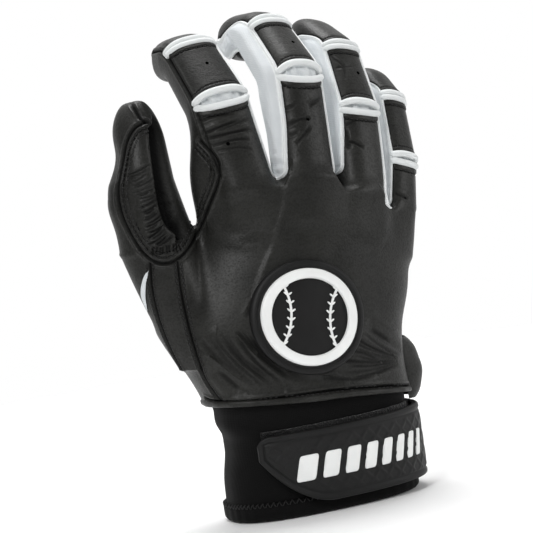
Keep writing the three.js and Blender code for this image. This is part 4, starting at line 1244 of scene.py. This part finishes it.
# Lift off the skin and height over the edge
HEM_PROFILE = [(-0.9, 2.6), (0.0, 2.5), (0.5, 2.2), (0.75, 1.7), (0.8, 1.1), (0.7, 0.4), (0.3, 0.0),
               (-0.2, -0.1), (-0.8, 0.0), (-1.2, 0.5), (-1.3, 1.4), (-1.3, 2.4)]
HEM_COUNT, HEM_RUN, HEM_RIPPLE, HEM_WAVES = 240, 85, 0.12, 23
angles = np.linspace(-180, 180, HEM_COUNT, endpoint=False)
ripple = HEM_RIPPLE * np.sin(np.radians(angles) * HEM_WAVES)
rings = [hand_point(np.full(HEM_COUNT, rise / HEM_RUN), angles, lift + ripple)
         for lift, rise in HEM_PROFILE]
faces = ring_faces(HEM_COUNT, len(HEM_PROFILE), closed=True)
obj = mesh_object("hem_leather", np.stack(rings, 1).reshape(-1, 3), faces, leather)
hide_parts("back_hem")
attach(obj, "hand")

# Gusset
# A pleat of the same leather at the little-finger side of the wrist, which lets the glove open over
# the hand. It stands out above the strap and puckers where it is sewn down.

# Angles round the hand, shares of its height, how far it stands out and how deep its edge is sewn
GUSSET_ROUND, GUSSET_UP, GUSSET_BULGE, GUSSET_EDGE = (78.0, 114.0), (-0.045, 0.31), 11.5, 0.9
GUSSET_COUNT = 40
u, v = np.meshgrid(np.linspace(0, 1, GUSSET_COUNT), np.linspace(0, 1, GUSSET_COUNT), indexing="ij")
swell = np.sin(math.pi * (0.06 + 0.9 * u)) ** 0.55 * np.sin(math.pi * v) ** 0.8
ripple = 0.2 * np.sin(2 * math.pi * (2.6 * u + 0.4 * v)) * np.sin(math.pi * v)
lift = GUSSET_BULGE * swell + ripple - GUSSET_EDGE * (1 - np.clip(4 * np.minimum(v, 1 - v), 0, 1))
places = hand_point(between(GUSSET_UP, u).ravel(), between(GUSSET_ROUND, v).ravel(), lift.ravel())
obj = mesh_object("gusset_leather", places, sheet_faces(GUSSET_COUNT, GUSSET_COUNT), leather)
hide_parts("ulnar_gusset")
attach(obj, "hand")

# Badge
# A moulded rubber patch sewn on the back of the hand, with a raised rim and, in white rubber, a ring
# and the two curved seams of a ball.

BADGE_CENTRE, BADGE_HALF, BADGE_TILT = (-3.0, 82.0), (25.0, 24.0), math.radians(12)
# Points round the badge, and the y from which its places are dropped on to the hand
BADGE_SIDES, IN_FRONT = 120, -150
# Share of the radius and height over the leather
BADGE_PROFILE = [(1.0, -0.6), (1.005, 1.4), (0.995, 2.1), (0.975, 2.5), (0.955, 2.6), (0.92, 2.6),
                 (0.905, 2.45), (0.893, 2.1), (0.88, 2.05), (0.86, 2.2), (0.84, 2.3), (0.7, 2.35),
                 (0.5, 2.4), (0.3, 2.42), (0.1, 2.44), (0.001, 2.44)]
RING_PROFILE = [(0.85, 2.1), (0.846, 3.3), (0.836, 3.7), (0.82, 3.9), (0.76, 4.0), (0.7, 3.9), (0.684, 3.7),
                (0.674, 3.3), (0.67, 2.1)]
# The ball's seams: their arcs in mm and degrees, the cord, and the small stitches to both sides of it
BALL_OUT, BALL_WIDE, BALL_TALL, BALL_SWEEP, BALL_LIFT, BALL_CORD = 26, 17.5, 21, 42, 2.75, 0.55
BALL_STITCHES, BALL_STITCH_SWEEP, BALL_STITCH = 8, 34, (1.7, 1.3)
BALL_STITCH_RADIUS = [0.42, 0.42, 0.42, 0.4, 0.2]


def over_hand(x, z):
    """The place on the back of the hand behind a point of the view from the front, and its normal."""
    place, normal, _, _ = form_tree.ray_cast(Vector((x, IN_FRONT, z)), Vector((0, 1, 0)))
    return np.array(place), np.array(normal)


_, BADGE_OUT = over_hand(*BADGE_CENTRE)


def on_badge(across, along, lift):
    """A place over the back of the hand, across and along the badge in mm."""
    x = BADGE_CENTRE[0] + across * math.cos(BADGE_TILT) + along * math.sin(BADGE_TILT)
    z = BADGE_CENTRE[1] - across * math.sin(BADGE_TILT) + along * math.cos(BADGE_TILT)
    return over_hand(x, z)[0] + BADGE_OUT * lift


def turned(profile):
    """A round form on the badge from a profile of radius share and height."""
    points = [on_badge(BADGE_HALF[0] * r * math.cos(a), BADGE_HALF[1] * r * math.sin(a), lift)
              for r, lift in profile for a in circle(BADGE_SIDES)]
    return np.array(points), ring_faces(len(profile), BADGE_SIDES)


def on_seam(side, a):
    """A place on one of the ball's two seams, across and along the badge."""
    return np.array([side * (BALL_OUT - BALL_WIDE * math.cos(a)), BALL_TALL * math.sin(a)])


moulded, given, made, place = node_group(
    "Moulded rubber", dict(Base=(0.006, 0.006, 0.006, 1), Dust=(0.012, 0.012, 0.012, 1)), dict(Matt=0.5),
    ("Color", "Height", "Roughness"))
spark = add(moulded, "ShaderNodeTexNoise", Vector=place, Scale=1800.0, Detail=2.0)
cloud = add(moulded, "ShaderNodeTexNoise", Vector=place, Scale=70.0, Detail=4.0)
tone = add(moulded, "ShaderNodeMapRange", Value=cloud.outputs[0], From_Min=0.4, From_Max=0.8, To_Max=0.6)
mixed = add(moulded, "ShaderNodeMix", data_type="RGBA", Factor=tone.outputs[0], A=given["Base"],
            B=given["Dust"])
rough = add(moulded, "ShaderNodeMath", cloud.outputs[0], 0.2, given["Matt"], operation="MULTIPLY_ADD")
feed(moulded, made, Color=mixed.outputs["Result"], Height=spark.outputs[0], Roughness=rough.outputs[0])
rubber = finish("Black rubber", moulded, 0.0001, 0.3, specular=0.26, Matt=0.42)
white_rubber = finish("White rubber", moulded, 0.0001, 0.2, specular=0.4, Matt=0.4,
                      Base=(0.87, 0.88, 0.87, 1), Dust=(0.78, 0.79, 0.78, 1))
obj = mesh_object("badge_rubber", *turned(BADGE_PROFILE), rubber)
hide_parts("badge")
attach(obj, "hand")
seam_cords = []
for side in (-1, 1):
    sweep = np.radians(np.linspace(-BALL_SWEEP, BALL_SWEEP, 40))
    path = [on_badge(*on_seam(side, a), BALL_LIFT) for a in sweep]
    seam_cords.append(tube(path, BADGE_OUT, BALL_CORD))
    for a in np.radians(np.linspace(-BALL_STITCH_SWEEP, BALL_STITCH_SWEEP, BALL_STITCHES)):
        for lean in (-1, 1):
            foot = on_seam(side, a)
            ends = (foot, foot + (lean * BALL_STITCH[0], BALL_STITCH[1]))
            shares = np.linspace(0, 1, len(BALL_STITCH_RADIUS))
            path = [on_badge(*between(ends, share), BALL_LIFT) for share in shares]
            seam_cords.append(tube(path, BADGE_OUT, BALL_STITCH_RADIUS))
ring = mesh_object("badge_ring", *turned(RING_PROFILE), white_rubber)
seams = mesh_object("badge_ball_seams", *merged(seam_cords), white_rubber)
for obj in (ring, seams):
    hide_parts("badge_motif")
    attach(obj, "hand")

# Cuff
# A sleeve of thin neoprene faced with black jersey, slit on the palm side so that the hand can pass.
# Its lower edge is folded up and closed with a zigzag stitch.

CUFF_HALF, CUFF_TOP, CUFF_HEM, CUFF_LAP = (42.2, 23.8), 54.0, 7.0, 0.6
SLIT_AT, SLIT_HALF = 128.0, 2.04
NEOPRENE, FOLD_OUT, FOLD_EDGE = 2.2, 0.95, 0.9
CUFF_COUNT, CUFF_ROWS, FOLD_ROWS = 260, 48, 16
# The zigzag: angles from the slit, step and reach in degrees, how far below and above the fold it goes
ZIGZAG_FROM, ZIGZAG_TO, ZIGZAG_STEP, ZIGZAG_REACH, ZIGZAG_LOW, ZIGZAG_HIGH = 4, 352, 2.2, 1.9, 1.4, 0.5
ZIGZAG_LIFTS, ZIGZAG_THREAD = ((0, 0.1), (0.2, 0.95), (0.5, 1.0), (0.8, 0.95), (1, 0.1)), 0.22


def cuff_point(angle, z, lift):
    """A place on the cuff from the angle round it, its height and how far it is lifted off."""
    angle, z, lift = np.broadcast_arrays(np.radians(angle), z, lift)
    across = signed_power(np.sin(angle), 2 / HAND_ROUNDNESS)
    back = signed_power(np.cos(angle), 2 / HAND_ROUNDNESS)
    return np.stack([across * (CUFF_HALF[0] + lift), -back * (CUFF_HALF[1] + lift), z], -1)


def closed_strip(loops, sides):
    """Quads between the loops of a flat strip, up one face and down the other, with its ends closed."""
    caps = np.array([(k, k + 1, sides - 2 - k, sides - 1 - k) for k in range(sides // 2 - 1)])
    return np.concatenate([ring_faces(loops, sides)[:, ::-1], caps[:, ::-1], caps + (loops - 1) * sides])


def wrapped(profile, start, end, count, wave=lambda angle, z: 0.0):
    """A closed piece swept round the cuff: a profile of heights and lifts, with its ends closed."""
    z, lift = np.array(profile).T
    angle, z = np.meshgrid(np.linspace(start, end, count), z, indexing="ij")
    points = cuff_point(angle, z, lift[None, :] + wave(angle, z))
    return points.reshape(-1, 3), closed_strip(count, len(profile))


def slab(bottom, top, outer, inner, rows, edge=0.5):
    """A profile of a flat strip: up its outer face with rounded edges, and down its inner face."""
    heights = np.linspace(bottom, top, rows)
    near = np.minimum(heights - bottom, top - heights)
    face = outer - edge * (1 - np.clip(near / (2 * edge), 0, 1)) ** 2
    return list(zip(heights, face)) + [(z, inner) for z in heights[::-1]]


def slack(angle, z):
    """Soft folds where the sleeve is pushed up under the leather, and a waist on the thumb's side."""
    turn = np.radians(angle)
    rise = ease(z, 24, 40) * (1 - ease(z, 46, 53))
    folds = 0.35 * rise * np.sin(0.55 * z + turn * 2.3) + 0.2 * np.sin(turn * 5 + 0.08 * z)
    waist = 3.4 * ridge(z - 31, 10) * np.maximum(0, -np.sin(turn)) ** 6
    return folds - waist - 0.3


def gathered(angle, z):
    """The small waves of the folded edge."""
    return 0.1 * np.sin(np.radians(angle) * 37)


jersey = finish("Black jersey", knit, 0.0002, 0.3, specular=0.08, sheen=0.05,
                Dark=(0.0035, 0.0035, 0.0035, 1), Light=(0.008, 0.008, 0.008, 1))
once_round = (SLIT_AT + SLIT_HALF, SLIT_AT - SLIT_HALF + 360, CUFF_COUNT)
sleeve = slab(CUFF_HEM - CUFF_LAP, CUFF_TOP, 0.0, -NEOPRENE, CUFF_ROWS)
obj = mesh_object("cuff_sleeve", *wrapped(sleeve, *once_round, slack), jersey)
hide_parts("cuff")
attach(obj, "hand")
fold = slab(0, CUFF_HEM, FOLD_OUT, -NEOPRENE, FOLD_ROWS, FOLD_EDGE)
obj = mesh_object("cuff_fold", *wrapped(fold, *once_round, gathered), jersey)
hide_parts("cuff_hem")
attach(obj, "hand")
zigzag = []
for k, angle in enumerate(np.arange(SLIT_AT + ZIGZAG_FROM, SLIT_AT + ZIGZAG_TO, ZIGZAG_STEP)):
    levels = (CUFF_HEM - ZIGZAG_LOW, CUFF_HEM + ZIGZAG_HIGH)
    levels = levels if k % 2 else levels[::-1]
    path = [cuff_point(angle + t * ZIGZAG_REACH, between(levels, t), lift) for t, lift in ZIGZAG_LIFTS]
    outward = (math.sin(math.radians(angle)), -math.cos(math.radians(angle)), 0)
    zigzag.append(tube(path, outward, ZIGZAG_THREAD, STITCH_SIDES))
obj = mesh_object("cuff_zigzag", *merged(zigzag), thread)
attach(obj, "hand")

# Hook and loop
# The soft loop side is sewn flat on the cuff and is a little fuzzy; the stiff hook side is under the
# strap's free end, so the strap can be set at any girth.

# Angles and heights of the pads, how far they keep inside the strap's edge, and their outer and inner lift
LOOP = dict(start=-41.0, end=62.0, low=8.85, high=37.5, inset=1.0, outer=1.1, inner=0.2)
HOOK = dict(start=-36.0, end=24.0, low=10.4, high=30.0, inset=3.0, outer=2.5, inner=1.85)
PAD_ROWS, LOOP_COUNT, HOOK_COUNT = 20, 140, 80
FUZZ_COUNT, FUZZ_SPREAD, FUZZ_RADIUS, FUZZ_UP = 700, 20, 0.05, (0.5, 0.2, 0.84)
FUZZ_LIFT, FUZZ_RISE, FUZZ_POINTS = 0.95, 0.65, 5
HOOK_ROWS, HOOK_EDGE, HOOK_STEP, HOOK_MARGIN, HOOK_RADIUS = 44, 1.2, 1.2, 0.9, 0.12
# A hook's bend sideways and lift
HOOK_POINTS = ((0, 1.9), (0, 1.68), (0.14, 1.6), (0.3, 1.66))
STRAP_END, STRAP_HINGE, STRAP_LOW, STRAP_HIGH = -42.0, 88.0, 5.0, 36.0
STRAP_CORNER, STRAP_CORNER_SHARE, STRAP_CUT, STRAP_CUT_SHARE, STRAP_CUT_CURVE = 5.0, 0.07, 21.0, 0.3, 1.6


def strap_edges(v):
    """Lower and upper edge of the strap: a long curved cut below and a rounded top corner."""
    corner = np.maximum(0, 1 - v / STRAP_CORNER_SHARE)
    cut = np.maximum(0, 1 - v / STRAP_CUT_SHARE)
    low = STRAP_LOW + STRAP_CUT * cut ** STRAP_CUT_CURVE
    return low, STRAP_HIGH - STRAP_CORNER * (1 - np.sqrt(1 - corner ** 2))


def pad_low(pad, angle):
    """Lower edge of a pad, which keeps inside the strap's lower edge."""
    return max(pad["low"], strap_edges((angle - STRAP_END) / (STRAP_HINGE - STRAP_END))[0] + pad["inset"])


def under_strap(pad, count):
    """A flat pad on the cuff."""
    loops = []
    for angle in np.linspace(pad["start"], pad["end"], count):
        heights = np.linspace(pad_low(pad, angle), pad["high"], PAD_ROWS)
        loops += [cuff_point(angle, heights, pad["outer"]), cuff_point(angle, heights[::-1], pad["inner"])]
    return np.concatenate(loops), closed_strip(count, 2 * PAD_ROWS)


pile = finish("Loop pile", grain, 0.0006, 1.0, specular=0.1, sheen=0.25, Dark=(0.003, 0.003, 0.003, 1),
              Light=(0.012, 0.012, 0.012, 1), Shine=0.0)
obj = mesh_object("loop_pile", *under_strap(LOOP, LOOP_COUNT), pile)
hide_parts("loop_patch")
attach(obj, "hand")
fuzz = []
for _ in range(FUZZ_COUNT):
    angle = LOOP["start"] + 1 + random.random() ** 2 * FUZZ_SPREAD
    z = random.uniform(pad_low(LOOP, angle) + 0.5, LOOP["high"] - 0.5)
    lean = random.normal(0, 0.5, 2)
    t = np.linspace(0, 1, FUZZ_POINTS)
    lift = FUZZ_LIFT + FUZZ_RISE * np.maximum(0, np.sin(math.pi * t)) ** 0.7
    path = cuff_point(angle + lean[0] * t, z + lean[1] * t, lift)
    fuzz.append(tube(path, FUZZ_UP, FUZZ_RADIUS, sides=4))
obj = mesh_object("loop_fuzz", *merged(fuzz), pile)
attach(obj, "hand")
hooks = [under_strap(HOOK, HOOK_COUNT)]
for angle in np.linspace(HOOK["start"] + HOOK_EDGE, HOOK["end"] - HOOK_EDGE, HOOK_ROWS):
    for z in np.arange(pad_low(HOOK, angle) + HOOK_MARGIN, HOOK["high"] - HOOK_MARGIN, HOOK_STEP):
        path = [cuff_point(angle, z + bend, lift) for bend, lift in HOOK_POINTS]
        hooks.append(tube(path, (1.0, 0, 0), HOOK_RADIUS, sides=4))
obj = mesh_object("hook_pad", *merged(hooks), pile)
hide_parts("hook_patch")
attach(obj, "strap")

# Strap
# One piece of moulded rubber with a flat rim, a groove inside it and a pressed diagonal lattice in the
# field, crossed by a row of raised white stripes that get narrower towards the sewn end.

STRAP_UNDER, STRAP_FACE, STRAP_FIELD = 2.85, 5.25, 0.15
STRAP_RIM, GROOVE_AT, GROOVE_DEPTH, GROOVE_HALF = 2.3, 0.5, 0.6, 0.42
STRAP_EDGE_ROUND, STRAP_EDGE_DROP, LATTICE, LATTICE_RISE = 0.9, 0.7, 7.0, 0.28
STRAP_ROWS, STRAP_COUNT, STRAP_CROWD = 64, 260, 1.3
STRIPES, STRIPE_START, STRIPE_GAP, STRIPE_HALF = (8.5, 7.2, 6.1, 5.2, 4.4, 3.7, 3.1, 2.6), 16.0, 3.0, 5.4
STRIPE_RISE, STRIPE_SLANT, STRIPE_SQUARE, STRIPE_INSET, STRIPE_SIDES = 0.75, 0.28, 0.25, 4, 40
# Share of the stripe's size and rise over the field
STRIPE_PROFILE = [(1.0, -0.3), (1.0, 0.35), (0.96, 0.62), (0.88, STRIPE_RISE), (0.4, STRIPE_RISE),
                  (0.001, STRIPE_RISE)]
fine = np.linspace(STRAP_END, STRAP_HINGE, 400)
walk = run_of(cuff_point(fine, 0.0, STRAP_FACE))
u, v = np.meshgrid(np.linspace(0, 1, STRAP_ROWS), np.linspace(0, 1, STRAP_COUNT) ** STRAP_CROWD)
angle = between((STRAP_END, STRAP_HINGE), v)
low, high = strap_edges(v)
height = between((low, high), u)
length = np.interp(angle, fine, walk)
slope = np.gradient(low[:, 0], length[:, 0])[:, None]
edge = np.minimum(np.minimum((height - low) / np.sqrt(1 + slope ** 2), high - height), length)
weave = [np.abs(np.sin(math.pi * line / LATTICE)) for line in (length + height, length - height)]
face = -STRAP_EDGE_DROP * (1 - np.clip(edge / STRAP_EDGE_ROUND, 0, 1)) ** 2
face -= GROOVE_DEPTH * ridge(edge - STRAP_RIM - GROOVE_AT, GROOVE_HALF)
face -= STRAP_FIELD * ease(edge, STRAP_RIM, STRAP_RIM + 0.9)
face += LATTICE_RISE * ease(np.maximum(*weave), 0.86, 0.98) * ease(edge, STRAP_RIM + 1.2, STRAP_RIM + 2.0)
front = cuff_point(angle, height, STRAP_FACE + face)
back = cuff_point(angle, height, STRAP_UNDER)
loops = np.concatenate([front, back[:, ::-1]], 1)
obj = mesh_object("strap_rubber", loops.reshape(-1, 3), closed_strip(STRAP_COUNT, 2 * STRAP_ROWS), rubber)
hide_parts("strap")
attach(obj, "strap")


def stripe_half(half, share):
    """Half size of a stripe at a step of its profile: rounded edges, then closing to its middle."""
    return half - (1 - share) * STRIPE_INSET if share > 0.5 else share * half


stripes = []
start = STRIPE_START
corner = circle(STRIPE_SIDES)
for width in STRIPES:
    rings = []
    for share, rise in STRIPE_PROFILE:
        across = signed_power(np.cos(corner), STRIPE_SQUARE) * stripe_half(width / 2, share)
        upward = signed_power(np.sin(corner), STRIPE_SQUARE) * stripe_half(STRIPE_HALF, share)
        place = np.interp(start + width / 2 + across + STRIPE_SLANT * upward, walk, fine)
        level = (STRAP_LOW + STRAP_HIGH) / 2 + upward
        rings.append(cuff_point(place, level, STRAP_FACE - STRAP_FIELD + rise))
    stripes.append((np.concatenate(rings), ring_faces(len(STRIPE_PROFILE), STRIPE_SIDES)))
    start += width + STRIPE_GAP
obj = mesh_object("strap_stripes", *merged(stripes), white_rubber)
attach(obj, "strap")

# Strap anchor
# The sewn end of the strap, a plain tab of the same rubber. It lies flat on the cuff and is held there by
# a box of stitches with a diagonal.

ANCHOR_FROM, ANCHOR_TO, ANCHOR_UNDER, ANCHOR_EDGE, ANCHOR_ROWS, ANCHOR_COUNT = 89.9, 124.0, 1.4, 0.7, 34, 60
# Corners of the box in the order they are sewn, angle and height, and a stitch's lifts along it
BOX = [(93.0, 9.0), (121.0, 9.0), (121.0, 32.0), (93.0, 32.0), (93.0, 9.0), (121.0, 32.0)]
BOX_LIFT, BOX_STITCH = 5.2, ((-1, 4.9), (-0.7, 5.25), (0, 5.35), (0.7, 5.25), (1, 4.9))
tab = slab(STRAP_LOW, STRAP_HIGH, STRAP_FACE, ANCHOR_UNDER, ANCHOR_ROWS, ANCHOR_EDGE)
obj = mesh_object("anchor_tab", *wrapped(tab, ANCHOR_FROM, ANCHOR_TO, ANCHOR_COUNT), rubber)
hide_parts("strap_anchor")
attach(obj, "hand")
box_thread = []
for ends in zip(BOX[:-1], BOX[1:]):
    angles, levels = zip(*ends)
    first, last = cuff_point(angles, levels, BOX_LIFT)
    reach = np.linalg.norm(last - first)
    outward = (math.sin(math.radians(angles[0])), -math.cos(math.radians(angles[0])), 0.1)
    for middle in np.arange(0.5, reach / PITCH) * PITCH / reach:
        shares = [(middle + k * (0.5 * STITCH / reach), lift) for k, lift in BOX_STITCH]
        path = [cuff_point(between(angles, t), between(levels, t), lift) for t, lift in shares]
        box_thread.append(tube(path, outward, THREAD, STITCH_SIDES))
obj = mesh_object("anchor_thread", *merged(box_thread), thread)
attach(obj, "hand")

# Studio
# A round sheet of white paper under three soft lamps, before a bright white wall, as for a shop picture.
# The camera looks at the back of the hand from a little to the left of it and above.

LENS, SENSOR, CLIP_END = 172.8, 36, 20
PAPER_RADII, PAPER_Z, PAPER_SIDES = (1.0, 520.0), -0.6, 64
LAMP_AIM = Vector((0, 0, 0.1))
camera_data = bpy.data.cameras.new("Camera")
camera_data.lens = LENS
camera_data.sensor_width = SENSOR
camera_data.clip_end = CLIP_END
camera = bpy.data.objects.new("Camera", camera_data)
turn = np.stack([EYE_RIGHT, EYE_UP, EYE_BACK], 1)
camera.matrix_world = Matrix([[*turn[k], EYE[k] * MM] for k in range(3)] + [[0, 0, 0, 1]])
bpy.context.scene.collection.objects.link(camera)
bpy.context.scene.camera = camera

paper, _, _ = plain("White paper", (0.95, 0.95, 0.95), Roughness=0.9)
paper_points = [(r * math.cos(a), r * math.sin(a), PAPER_Z)
                for r in PAPER_RADII for a in circle(PAPER_SIDES)]
floor = mesh_object("Floor", paper_points, ring_faces(len(PAPER_RADII), PAPER_SIDES)[:, ::-1], paper)


def softbox(name, place, size, power):
    """A round soft lamp that points at the glove."""
    data = bpy.data.lights.new(name, "AREA")
    data.shape = "DISK"
    data.size = size
    data.energy = power
    obj = bpy.data.objects.new(name, data)
    obj.location = place
    obj.rotation_euler = (LAMP_AIM - Vector(place)).to_track_quat("-Z", "Y").to_euler()
    bpy.context.scene.collection.objects.link(obj)


softbox("Key", (-0.75, -0.75, 0.95), 0.4, 8)
softbox("Fill", (1.0, -0.6, 0.5), 0.5, 3.5)
softbox("Top", (0.1, 0.35, 1.1), 0.6, 9)
# The wall behind the glove is bright, the room in front of it dim
world = bpy.data.worlds.new("Studio")
world.use_nodes = True
tree = world.node_tree
sky = add(tree, "ShaderNodeTexCoord")
ahead = add(tree, "ShaderNodeVectorMath", sky.outputs["Generated"], -EYE_BACK, operation="DOT_PRODUCT")
glow = add(tree, "ShaderNodeMapRange", Value=ahead.outputs["Value"], From_Min=0.0, From_Max=0.8, To_Min=0.3,
           To_Max=1.0)
feed(tree, tree.nodes["Background"], Color=(1, 1, 1, 1), Strength=glow.outputs[0])
bpy.context.scene.world = world
bpy.context.scene.view_settings.view_transform = "Standard"
